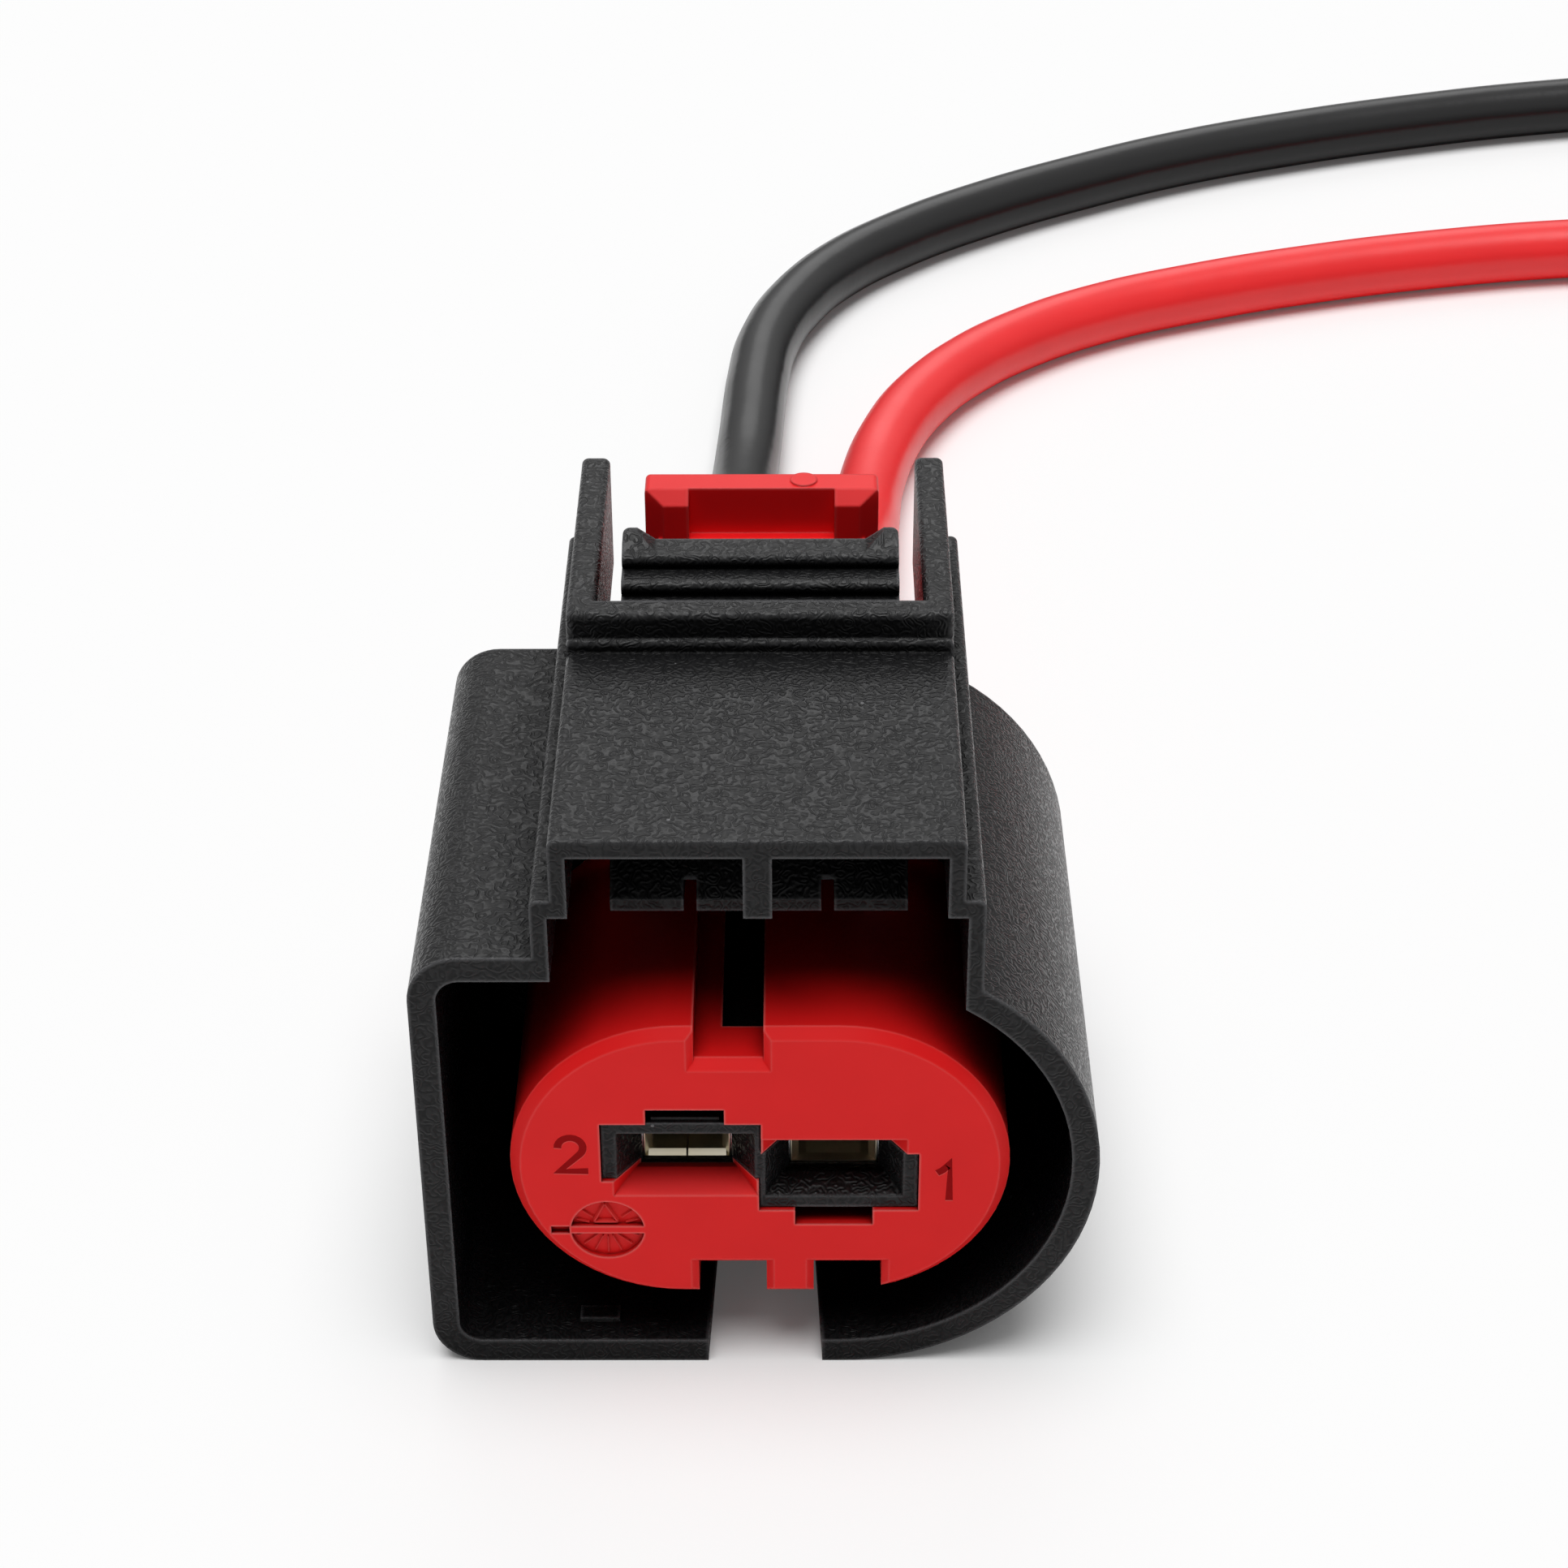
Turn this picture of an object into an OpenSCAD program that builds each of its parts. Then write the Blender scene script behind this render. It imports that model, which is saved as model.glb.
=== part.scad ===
/* [Shroud] */
// Outside width of the mating shroud
shroud_w = 17.2; // [16.8:0.1:19]
// Outside height of the mating shroud
shroud_h = 13.2; // [12.8:0.1:14.2]
// Depth of the shroud from its mating face to its back
shroud_l = 14.4; // [14.1:0.1:15.4]
// Wall thickness of the shroud
shroud_wall = 0.7; // [0.5:0.05:0.9]
// Outside radius of the two corners on the square side
corner_r = 1.3; // [1.1:0.05:2.4]
// Thickness of the wall that closes the shroud at its back
back_wall = 1.2; // [0.8:0.05:1.5]
// Width of the keying slot in the shroud floor at the mating face
slot_w = 3; // [2:0.1:3.6]
// Length of the keying slot
slot_l = 12; // [6:0.1:13]
// How much each side of the keying slot closes in over its length
slot_draft = 0.5; // [0:0.05:0.6]
// Distance of the keying slot from the middle
slot_x = 0.1; // [0:0.05:0.6]

// Height of the small raised field on the shroud floor
field_h = 0.1; // [0.05:0.01:0.3]
// Width of the small raised field
field_w = 1.05; // [0.6:0.05:1.5]
// Distance of the small raised field from the square side
field_side = 3.8; // [2.5:0.1:4.5]

/* [Latch tower] */
// Outside width of the tower above its ledges
tower_w = 10; // [9.8:0.1:10.4]
// Height of the tower roof above the shroud
tower_h = 3.45; // [3.4:0.05:4.2]
// Thickness of the tower side walls
tower_wall = 0.42; // [0.3:0.02:0.52]
// Thickness of the tower roof and ledges
roof_t = 0.5; // [0.35:0.02:0.55]
// How far the lower walls stand out beyond the upper walls
ledge_w = 0.5; // [0.3:0.05:0.7]
// Height of the ledges above the shroud
ledge_h = 1.7; // [1.5:0.05:2]
// Length of the roof from the mating face to the step of the bridge
roof_l = 8.55; // [8.4:0.05:9]
// Radius of the long edges of the tower, ledges, bridge and guards
edge_r = 0.2; // [0.1:0.01:0.3]
// Width of the rib under the middle of the roof
rib_w = 0.7; // [0.5:0.05:1.2]
// Height of the rib below the roof
rib_h = 1.75; // [1.2:0.05:1.9]
// Length of the rib
rib_l = 2; // [1:0.1:2.1]

/* [Bridge and guards] */
// Height of the bridge and guards above the roof
rim_h = 1.08; // [0.9:0.02:1.4]
// Length of the bridge along the connector, with its step
bridge_l = 0.8; // [0.6:0.05:1]
// Height of the small step in front of the bridge
step_h = 0.35; // [0.2:0.05:0.6]
// Length of the small step in front of the bridge
step_l = 0.15; // [0.1:0.01:0.3]
// Thickness of the two guards beside the latch pad
guard_wall = 0.78; // [0.6:0.01:0.84]
// Distance from the mating face to the end of the guards
guard_l = 17.1; // [16.4:0.1:18]
// How far the ledges run on behind the guards
ledge_run = 0.6; // [0.3:0.1:1.2]

/* [Latch lever] */
// Width of the lever plate
lever_w = 6.6; // [6:0.1:7]
// Thickness of the lever plate
lever_t = 0.8; // [0.6:0.02:0.84]
// Distance from the mating face to the front of the lever
lever_front = 2.4; // [2.2:0.1:3]
// Height of the underside of the lever above the shroud
lever_h = 1.75; // [1.7:0.01:1.78]
// Width of the latch hook across its teeth
hook_w = 7.4; // [7:0.1:7.8]
// Length of the latch hook behind its slope
hook_neck = 0.45; // [0.3:0.05:0.8]
// Height of the blunt tip of the latch hook
hook_land = 0.35; // [0.2:0.01:0.5]
// How far the teeth hang below the shroud top
hook_drop = 0.3; // [0:0.05:0.5]
// Width of the gaps between the teeth
tooth_gap = 0.32; // [0.2:0.02:0.5]
// Width of the middle tooth
tooth_w = 3.1; // [2.4:0.1:3.6]
// Length of the two bars that carry the lever between the tower walls
pivot_l = 0.9; // [0.6:0.05:1.2]
// Distance from the bridge step forward to the end of the pivot bars
pivot_back = 0.25; // [0:0.05:0.5]
// Width of the latch pad
pad_w = 7.24; // [6.8:0.02:7.8]
// Gap between the bridge and the latch pad
pad_gap = 0.55; // [0.35:0.01:0.6]
// How far the first tread of the pad lies below the bridge
pad_drop = 0.33; // [0.1:0.01:0.4]
// Height of the two steps of the latch pad
pad_step = 0.41; // [0.2:0.01:0.5]
// Length of the first tread
first_tread = 0.4; // [0.3:0.01:0.5]
// Length of the other two treads
tread = 0.71; // [0.6:0.01:0.74]
// Height of the ears at the rear corners of the pad
ear_h = 0.34; // [0.2:0.01:0.5]
// Width of an ear
ear_w = 0.86; // [0.5:0.01:1]

/* [Contact core] */
// Distance between the middles of the two mouth frames
pitch = 4; // [3.9:0.05:4.1]
// How far each contact lies inside the middle of its frame
contact_in = 0.12; // [0.08:0.01:0.14]
// Width of a cavity mouth
mouth_w = 3.7; // [3.6:0.05:3.75]
// Height of a cavity mouth
mouth_h = 2; // [1.9:0.02:2.1]
// How far each cavity is shifted up or down from the middle
cavity_shift = 0.08; // [0.04:0.01:0.12]
// Wall of the frame above each cavity mouth
frame_wall = 0.3; // [0.2:0.02:0.36]
// Wall of the frame beside each cavity mouth
frame_side = 0.15; // [0.13:0.01:0.17]
// How far the legs of each frame reach past the middle
leg_drop = 0.42; // [0.35:0.01:0.5]
// Width of the blade slot behind the funnel
blade_w = 2.3; // [2.2:0.05:2.36]
// Height of the blade slot behind the funnel
blade_h = 1.36; // [1.2:0.02:1.4]
// Width of the room for a contact
room_w = 2.5; // [2.42:0.02:2.7]
// Radius of the bores for the wire seals
bore_r = 1.75; // [1.68:0.01:1.85]
// Wall of the rear collar round the seal bores
collar_wall = 0.9; // [0.6:0.05:1.2]
// Distance from the mating face to the rear end of the collar
overall_l = 22; // [21:0.1:24]

/* [Insert] */
// Gap between the shroud and the insert for the mating part
mating_gap = 1.56; // [1.4:0.02:1.7]
// Distance of the insert face behind the mating face
insert_front = 0; // [-0.2:0.02:0.2]
// Thickness of the insert face
face_t = 0.95; // [0.85:0.05:1.2]
// Wall of the insert sleeve
sleeve_wall = 0.7; // [0.6:0.02:0.8]
// Length of the insert
insert_l = 8.8; // [8:0.1:9.2]
// Chamfer round the insert face
insert_chamfer = 0.27; // [0.1:0.01:0.4]
// Length of the lead-in ramp in front of each blade slot
ramp_l = 0.77; // [0.5:0.01:0.85]
// Width of each keying groove
groove_w = 1.75; // [1.5:0.05:1.9]
// Depth of the two lower grooves
groove_d = 1; // [0.6:0.02:1.04]
// Depth of the upper groove
upper_d = 0.97; // [0.8:0.01:1.1]
// Width of the key between the two lower grooves
key_w = 1.22; // [0.8:0.02:1.3]
// How far the grooves are set off from the middle
groove_shift = 0.76; // [0.6:0.01:0.8]
// Width of the relief beside each cavity mouth
relief_w = 1.92; // [1.5:0.02:2]
// Height of the relief beside each cavity mouth
relief_h = 0.47; // [0.3:0.01:0.5]
// Length of the spring lance behind each relief
lance_l = 3.2; // [2.8:0.1:3.4]

// Radius of the dial beside the left cavity
dial_r = 0.94; // [0.7:0.02:1]
// Distance of the dial outside the middle of the left frame
dial_out = 1.92; // [1.8:0.01:2]
// Distance of the dial below the middle
dial_drop = 2.06; // [1.95:0.01:2.15]
// Depth of the dial and of the mark beside it
mark_d = 0.15; // [0.08:0.01:0.25]

/* [Position lock] */
// Width of the head
head_w = 6.32; // [6:0.02:6.8]
// Height of the head above the shroud
head_h = 5; // [4.6:0.05:5.3]
// Thickness of the back wall of the head
head_wall = 0.8; // [0.6:0.05:1]
// Width of the recess between the two posts
recess_w = 3.94; // [3.4:0.02:4.2]
// Depth of the recess below the top of the head
recess_h = 1.37; // [1:0.01:1.6]
// How far the posts stand out in front of the back wall
post_l = 0.36; // [0.25:0.01:0.5]
// Distance of the gate mark on top of the head from the middle
gate_x = 1.14; // [0:0.01:2]
// Radius of the gate mark
gate_r = 0.36; // [0.2:0.01:0.4]
// Height of the gate mark
gate_h = 0.05; // [0.03:0.01:0.1]
// Free travel of the position lock
lock_travel = 2.3; // [2:0.05:2.4]
// Width of the tongue between the guide ribs
tongue_w = 5.2; // [4.6:0.1:5.4]
// Thickness of the tongue
tongue_t = 1.3; // [1.25:0.01:1.34]
// Thickness of the flanges under the guide ribs
flange_t = 0.55; // [0.4:0.05:0.6]
// Width of each flange
flange_w = 0.5; // [0.35:0.05:0.7]
// Width of the guide ribs
guide_w = 0.45; // [0.3:0.05:0.5]

/* [Contacts and seals] */
// Thickness of the contact sheet metal
sheet = 0.2; // [0.14:0.01:0.22]
// Thickness of the steel sleeve round a contact
steel_t = 0.09; // [0.06:0.01:0.11]
// Radius of the stranded conductor
strand_r = 0.65; // [0.5:0.01:0.68]
// Radius of a lead over its insulation
lead_r = 1.25; // [1.15:0.01:1.28]
// Height of the ribs of the mating seal
seal_rib = 0.4; // [0.2:0.01:0.6]

/* [Fits] */
// Running clearance of the position lock
run_gap = 0.12; // [0.08:0.01:0.15]
// Assembly clearance between fixed pieces
fit_gap = 0.03; // [0.02:0.01:0.05]

/* [Hidden] */
$fn = 96;
over = 1;
mid_z = shroud_h / 2;
round_r = shroud_h / 2;
round_x = shroud_w / 2 - round_r;
roof_z = shroud_h + tower_h;
ledge_z = shroud_h + ledge_h;
rim_z = roof_z + rim_h;
bridge_y = roof_l + step_l;
bay_y = roof_l + bridge_l;
bay_w = tower_w - 2 * guard_wall;
bay_back = guard_l + ledge_run + over;
hollow_w = tower_w + 2 * ledge_w - 2 * tower_wall;
socket_l = shroud_l - back_wall;
field_x = -shroud_w / 2 + field_side;
field_y = 0.75;

lever_z = shroud_h + lever_h;
lever_top = lever_z + lever_t;
pivot_y = roof_l - pivot_back;
pad_front = bay_y + pad_gap;
pad_y = pad_front + first_tread + 2 * tread;
pad_z = rim_z - pad_drop;
pad_top = pad_z + 2 * pad_step;

core_gap = 0.2;
insert_h = shroud_h - 2 * shroud_wall - 2 * mating_gap;
insert_w = pitch + insert_h;
insert_r = insert_h / 2;
insert_back = insert_front + insert_l;
face_back = insert_front + face_t;
core_r = insert_r - sleeve_wall - core_gap;
core_front = face_back + fit_gap;
frame_front = insert_front + run_gap;
contact_x = pitch / 2 - contact_in;
frame_top = cavity_shift + mouth_h / 2 + frame_wall;
trough_wall = 0.4;
trough_z = insert_r - upper_d - trough_wall;
upper_x = -groove_shift - groove_w / 2;
lower_x = groove_shift - key_w / 2 - groove_w;
dial_x = -pitch / 2 - dial_out;
dial_z = mid_z - dial_drop;

room_y = core_front + 0.15;
room_back = 9.6;
steel_y = room_y + 0.05;
steel_l = 4.4;
contact_w = room_w - 2 * (steel_t + 2 * fit_gap);
contact_h = mouth_h - 2 * (steel_t + 2 * fit_gap);
contact_l = 5.2;
spring_l = 3.6;
crimp_y = room_back - 1.9;
hold_y = room_back + 0.9;
hold_l = 1.6;
mating_seal_y = insert_back + 2 * run_gap;
wire_seal_y = shroud_l + 0.4;
wire_seal_l = 6;

tongue_z = shroud_h + run_gap;
tongue_top = tongue_z + tongue_t;
tongue_y = pad_y + run_gap;
post_y = pad_y + lock_travel + run_gap;
head_y = post_y + post_l;
head_back = head_y + head_wall;
head_z = shroud_h + head_h;
guide_y = bay_y + 0.15;
lip_z = tongue_z + flange_t + run_gap;
lip_t = 0.4;

lead_sides = 8;
strip_l = 6;
black_route = [
  [-contact_x, 0, mid_z], [-contact_x, 5, mid_z], [-contact_x, overall_l / 2, mid_z],
  [-1.9, 15, 6.4], [-1.8, 20, 5.3], [-1.5, 25, 3.6], [-1.2, 30, 2.1], [-1, 35, 1.35], [-0.8, 39, 1.25],
  [-0.6, 43, 1.25], [-0.2, 46.6, 1.25], [0.8, 50, 1.25], [2.6, 53.4, 1.25], [5.4, 56.6, 1.25],
  [9, 59.6, 1.25], [13.2, 62.4, 1.25], [18, 65.1, 1.25], [23.4, 67.4, 1.25], [29, 69.3, 1.25],
  [35, 70.9, 1.25], [41, 71.9, 1.25], [47, 72.2, 1.25], [53, 71.4, 1.25], [58.6, 69.2, 1.25],
  [63.4, 65.8, 1.25], [67.4, 61.4, 1.25], [70.4, 56.2, 1.25], [72.4, 50.6, 1.25], [73.4, 44.8, 1.25],
  [73.6, 38.8, 1.25], [73, 33, 1.25], [72.6, 30, 1.25]
];
red_route = [
  [contact_x, 0, mid_z], [contact_x, 5, mid_z], [contact_x, overall_l / 2, mid_z],
  [2, 15, 6.4], [2.5, 20, 5.2], [3, 25, 3.4], [3.4, 30, 1.9], [3.8, 35, 1.3], [4.6, 38.6, 1.25],
  [5.8, 41.6, 1.25], [7.6, 44.4, 1.25], [10, 46.9, 1.25], [13.2, 49.2, 1.25], [17.4, 51.2, 1.25],
  [22.4, 53, 1.25], [28, 54.5, 1.25], [33.6, 55.5, 1.25], [39, 55.9, 1.25], [44.4, 55.5, 1.25],
  [49.4, 53.9, 1.25], [53.8, 51.1, 1.25], [57.4, 47.3, 1.25], [60, 42.7, 1.25], [61.6, 37.6, 1.25],
  [62.2, 32.2, 1.25], [61.8, 26.8, 1.25], [60.6, 21.4, 1.25], [58.4, 16.4, 1.25], [55.4, 11.8, 1.25],
  [51.8, 8, 1.25], [47.6, 4.8, 1.25], [43.2, 2.2, 1.25], [37.6, 0, 1.25]
];

// Extrudes a profile drawn in X and Z from depth y0 to depth y1
module along(y0, y1) {
  translate([0, y1, 0]) rotate([90, 0, 0]) linear_extrude(y1 - y0) children();
}

// Extrudes a profile drawn in Y and Z from x0 to x1
module across(x0, x1) {
  translate([x0, 0, 0]) rotate([90, 0, 90]) linear_extrude(x1 - x0) children();
}

// Extrudes a profile drawn in X and Y from height z0 to z1
module upward(z0, z1) {
  translate([0, 0, z0]) linear_extrude(z1 - z0) children();
}

// Box between two corners
module block(low, high) {
  translate(low) cube(high - low);
}

// Cylinder along the connector from depth y0 to depth y1
module rod(x, z, r, y0, y1) {
  translate([x, y0, z]) rotate([-90, 0, 0]) cylinder(h = y1 - y0, r = r);
}

// Draws the same thing on the right and on the left
module both_sides() {
  for (side = [0, 1]) mirror([side, 0, 0]) children();
}

// Moves depths counted from the mating face to the frame of the connector
module placed() {
  translate([0, -overall_l / 2, 0]) children();
}

// One cavity by its number: 2 is on the left and upright, 1 is on the right and turned half round
module at_cavity(number) {
  translate([0, 0, mid_z]) rotate([0, number == 2 ? 0 : 180, 0]) children();
}

// Both cavities
module each_cavity() {
  for (number = [1, 2]) at_cavity(number) children();
}

// Oblong with two half-round ends about the middles of the two frames
module oblong(r) {
  for (side = [-1, 1]) translate([side * pitch / 2, mid_z]) circle(r);
  translate([-pitch / 2, mid_z - r]) square([pitch, 2 * r]);
}

// Shroud outline, square on the left and half round on the right
module shroud_outline(inset) {
  corner = corner_r - inset;
  left = -shroud_w / 2 + inset;
  low = inset;
  high = shroud_h - inset;
  translate([round_x, mid_z]) circle(round_r - inset);
  translate([left, low + corner]) square([round_x - left, high - low - 2 * corner]);
  translate([left + corner, low]) square([round_x - left - corner, high - low]);
  for (z = [low + corner, high - corner]) translate([left + corner, z]) circle(corner);
}

// Profile of a given half width between two heights, with its two upper corners rounded
module capped(half, low, high, r) {
  translate([-half, low]) square([2 * half, high - low - r]);
  translate([-half + r, low]) square([2 * half - 2 * r, high - low]);
  for (side = [-1, 1]) translate([side * (half - r), high - r]) circle(r);
}

// Profile seen from the side with its front upper corner rounded
module eased(y0, y1, low, high, r) {
  translate([y0, low]) square([y1 - y0, high - low - r]);
  translate([y0 + r, low]) square([y1 - y0 - r, high - low]);
  translate([y0 + r, high - r]) circle(r);
}

// Outline of the latch tower with its ledges, from a height up
module tower_outline(from_z) {
  capped(tower_w / 2 + ledge_w, from_z, ledge_z, edge_r);
  capped(tower_w / 2, from_z, roof_z, edge_r);
}

// Space inside the tower walls, from a height up
module tower_space(from_z) {
  half = tower_w / 2 - tower_wall;
  translate([-half - ledge_w, from_z]) square([2 * half + 2 * ledge_w, ledge_z - roof_t - from_z]);
  translate([-half, from_z]) square([2 * half, roof_z - roof_t - from_z]);
}

// Keeps the part of a profile that lies outside the lock bay
module beside_bay() {
  intersection() {
    children();
    both_sides() translate([bay_w / 2, 0]) square([tower_w, rim_z + over]);
  }
}

// Ledges and guards, which run on behind the shroud
module side_walls() {
  low = shroud_h - shroud_wall;
  along(shroud_l - over, guard_l + ledge_run) beside_bay() {
    capped(tower_w / 2 + ledge_w, low, ledge_z, edge_r);
  }
  both_sides() translate([(tower_w - guard_wall) / 2, 0, 0]) {
    along(shroud_l - over, guard_l) capped(guard_wall / 2, low, rim_z, edge_r);
    along(bay_y - 0.1, shroud_l) capped(guard_wall / 2, ledge_z - 0.1, rim_z, edge_r);
  }
}

// Slot through the shroud floor, closing in towards the back
module keying_slot() {
  front = slot_w / 2;
  back = slot_w / 2 - slot_draft;
  translate([slot_x, 0, 0]) upward(-over, shroud_wall + over) polygon([
    [-front, -over], [front, -over], [front, 0], [back, slot_l], [-back, slot_l], [-front, 0]
  ]);
}

// Shroud and tower walls with the open socket, latch chamber and lock bay
module shell_walls() {
  difference() {
    union() {
      along(0, shroud_l) shroud_outline(0);
      intersection() {
        along(0, shroud_l) tower_outline(mid_z);
        across(-tower_w, tower_w) eased(0, shroud_l, mid_z, roof_z, edge_r / 2);
      }
      side_walls();
    }
    along(-over, socket_l) shroud_outline(shroud_wall);
    along(-over, guide_y) tower_space(mid_z);
    block([-bay_w / 2, bay_y, shroud_h], [bay_w / 2, bay_back, rim_z + over]);
    block([-hollow_w / 2, bay_y, shroud_h], [hollow_w / 2, bay_back, ledge_z - roof_t]);
    block([-hollow_w / 2, guard_l, shroud_h], [hollow_w / 2, bay_back, rim_z + over]);
    block([-hollow_w / 2, shroud_l, mid_z], [hollow_w / 2, bay_back, ledge_z - roof_t]);
    keying_slot();
  }
}

// Bridge across the guards with the small step in front of it
module bridge() {
  half = tower_w / 2;
  low = roof_z - roof_t;
  intersection() {
    along(roof_l, bay_y) capped(half, low, roof_z + step_h, edge_r);
    across(-half, half) eased(roof_l, bay_y, low, roof_z + step_h, edge_r);
  }
  intersection() {
    along(bridge_y, bay_y) capped(half, low, rim_z, edge_r);
    across(-half, half) eased(bridge_y, bay_y, low, rim_z, edge_r);
    upward(low, rim_z) mirror([0, 1]) capped(half, -bay_y, -bridge_y, edge_r);
  }
}

// Latch lever: plate, toothed hook, pivot bars, stepped thumb pad with raised rear corners
module lever() {
  tooth_out = tooth_w / 2 + tooth_gap;
  back_1 = pad_front + first_tread;
  back_2 = back_1 + tread;
  nose = pad_step / 2;
  hook_z = shroud_h - hook_drop;
  tip_z = hook_z + hook_land;
  slope_y = lever_front + lever_top - tip_z;
  hook_y = slope_y + hook_neck;
  pivot_x = tower_w / 2 - tower_wall / 2;
  block([-lever_w / 2, slope_y, lever_z], [lever_w / 2, pad_y, lever_top]);
  difference() {
    across(-hook_w / 2, hook_w / 2) polygon([
      [lever_front, hook_z], [lever_front, tip_z], [slope_y, lever_top], [hook_y, lever_top], [hook_y, hook_z]
    ]);
    both_sides() block([tooth_w / 2, 0, hook_z - over], [tooth_out, hook_y + over, tip_z + hook_land]);
  }
  both_sides() {
    block([lever_w / 2 - over, pivot_y - pivot_l, lever_z], [pivot_x, pivot_y, lever_top]);
    intersection() {
      along(pad_y - tread, pad_y) intersection() {
        capped(pad_w / 2, pad_z, pad_top + ear_h, edge_r);
        polygon([
          [pad_w / 2, pad_z], [pad_w / 2, pad_top + ear_h], [pad_w / 2 - ear_w * 0.45, pad_top + ear_h],
          [pad_w / 2 - ear_w, pad_top], [pad_w / 2 - ear_w, pad_z]
        ]);
      }
      across(0, pad_w) polygon([
        [pad_y - tread, pad_z], [pad_y - tread, pad_top], [pad_y - tread / 4, pad_top + ear_h],
        [pad_y, pad_top + ear_h], [pad_y, pad_z]
      ]);
    }
  }
  across(-pad_w / 2, pad_w / 2) {
    polygon([
      [pad_front, lever_z], [pad_y, lever_z], [pad_y, pad_top], [back_2, pad_top], [back_2, pad_z + pad_step],
      [back_1, pad_z + pad_step], [back_1, pad_z], [pad_front, pad_z]
    ]);
    translate([back_1, pad_z + nose]) circle(nose);
    translate([back_2, pad_z + pad_step + nose]) circle(nose);
  }
}

// Ribs on the shroud roof whose lips hold the tongue of the position lock down
module guide_ribs() {
  rib_x = tongue_w / 2 + run_gap;
  lip_x = tongue_w / 2 - flange_w + run_gap;
  both_sides() {
    block([rib_x, guide_y, shroud_h - shroud_wall / 2], [rib_x + guide_w, shroud_l, lip_z + lip_t]);
    block([lip_x, guide_y, lip_z], [rib_x + guide_w, shroud_l, lip_z + lip_t]);
  }
}

// Frame round a cavity mouth from a given depth, drawn about the middle, made larger by a clearance
module mouth_frame(front, grow) {
  half = mouth_w / 2 + frame_side;
  block(
    [-pitch / 2 - half - grow, front, -leg_drop - grow],
    [-pitch / 2 + half + grow, core_front + 0.1, frame_top + grow]
  );
}

// Relief beside a cavity mouth
module relief(y1, grow) {
  half = relief_w / 2 + grow;
  top = frame_top + relief_h + grow;
  block([-contact_x - half, insert_front - over, frame_top - 0.05], [-contact_x + half, y1, top]);
}

// Free space of one cavity: funnel, blade slot and room for the contact
module cavity_space() {
  front = insert_front;
  back = core_front;
  translate([-contact_x, 0, cavity_shift]) {
    intersection() {
      across(-mouth_w, mouth_w) polygon([
        [front - over, -mouth_h / 2], [front, -mouth_h / 2], [front + ramp_l, -blade_h / 2],
        [back + 0.05, -blade_h / 2], [back + 0.05, blade_h / 2], [front + ramp_l, blade_h / 2],
        [front, mouth_h / 2], [front - over, mouth_h / 2]
      ]);
      upward(-mouth_h, mouth_h) polygon([
        [-mouth_w / 2, front - over], [-mouth_w / 2, front], [-blade_w / 2, back],
        [-blade_w / 2, back + 0.05], [blade_w / 2, back + 0.05], [blade_w / 2, back],
        [mouth_w / 2, front], [mouth_w / 2, front - over]
      ]);
    }
    block([-blade_w / 2, back, -blade_h / 2], [blade_w / 2, room_y + 0.05, blade_h / 2]);
    block([-room_w / 2, room_y, -mouth_h / 2], [room_w / 2, room_back, mouth_h / 2]);
  }
}

// Trough of the upper groove of the insert, made larger by a clearance
module trough(grow) {
  block(
    [upper_x - trough_wall - grow, face_back - 0.1, mid_z + trough_z - grow],
    [upper_x + groove_w + trough_wall + grow, insert_back + grow, mid_z + insert_r - sleeve_wall + 0.05]
  );
}

// Core that holds the contacts, with its mouth frames and rear collar, before the cavities are cut
module core() {
  difference() {
    along(core_front, shroud_l) oblong(core_r);
    trough(core_gap / 2);
    each_cavity() relief(room_y + lance_l, 0);
  }
  each_cavity() mouth_frame(frame_front, 0);
  each_cavity() lance();
  along(socket_l, overall_l) oblong(bore_r + collar_wall);
}

// Spring lance over a contact, seen in the relief beside its mouth
module lance() {
  half = relief_w / 2 - 0.1;
  front = frame_front + 0.1;
  top = frame_top + relief_h / 5;
  block([-contact_x - half, front, frame_top - 0.1], [-contact_x + half, room_y + lance_l + 0.1, top]);
}

module housing() {
  color("#232325") placed() difference() {
    union() {
      shell_walls();
      bridge();
      lever();
      guide_ribs();
      core();
      block([-rib_w / 2, 0, roof_z - roof_t - rib_h], [rib_w / 2, rib_l, roof_z - roof_t / 2]);
      block([field_x, field_y, shroud_wall / 2], [field_x + field_w, field_y + 0.5, shroud_wall + field_h]);
    }
    each_cavity() cavity_space();
    for (side = [-1, 1]) rod(side * contact_x, mid_z, bore_r, room_back - 0.05, overall_l + over);
  }
}

// Oblong block with a chamfered face
module insert_body() {
  full_y = insert_front + insert_chamfer;
  along(full_y, insert_back) oblong(insert_r);
  for (side = [-1, 1]) translate([side * pitch / 2, insert_front, mid_z]) {
    rotate([-90, 0, 0]) cylinder(h = insert_chamfer, r1 = insert_r - insert_chamfer, r2 = insert_r);
  }
  translate([0, 0, mid_z]) across(-pitch / 2, pitch / 2) polygon([
    [insert_front, -insert_r + insert_chamfer], [full_y, -insert_r],
    [full_y, insert_r], [insert_front, insert_r - insert_chamfer]
  ]);
}

// Groove along the top of the insert from x0 on, flared at the face, drawn about the middle
module groove(x0, depth) {
  x1 = x0 + groove_w;
  flare = insert_chamfer * 0.7;
  front = insert_front;
  back = insert_back + over;
  low = insert_r - depth;
  intersection() {
    upward(low - over, insert_r + over) polygon([
      [x0 - flare, front - over], [x1 + flare, front - over], [x1 + flare, front], [x1, front + flare],
      [x1, back], [x0, back], [x0, front + flare], [x0 - flare, front]
    ]);
    across(x0 - over, x1 + over) polygon([
      [front - over, low - insert_chamfer], [front, low - insert_chamfer], [front + insert_chamfer, low],
      [back, low], [back, insert_r + over], [front - over, insert_r + over]
    ]);
  }
}

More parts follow.
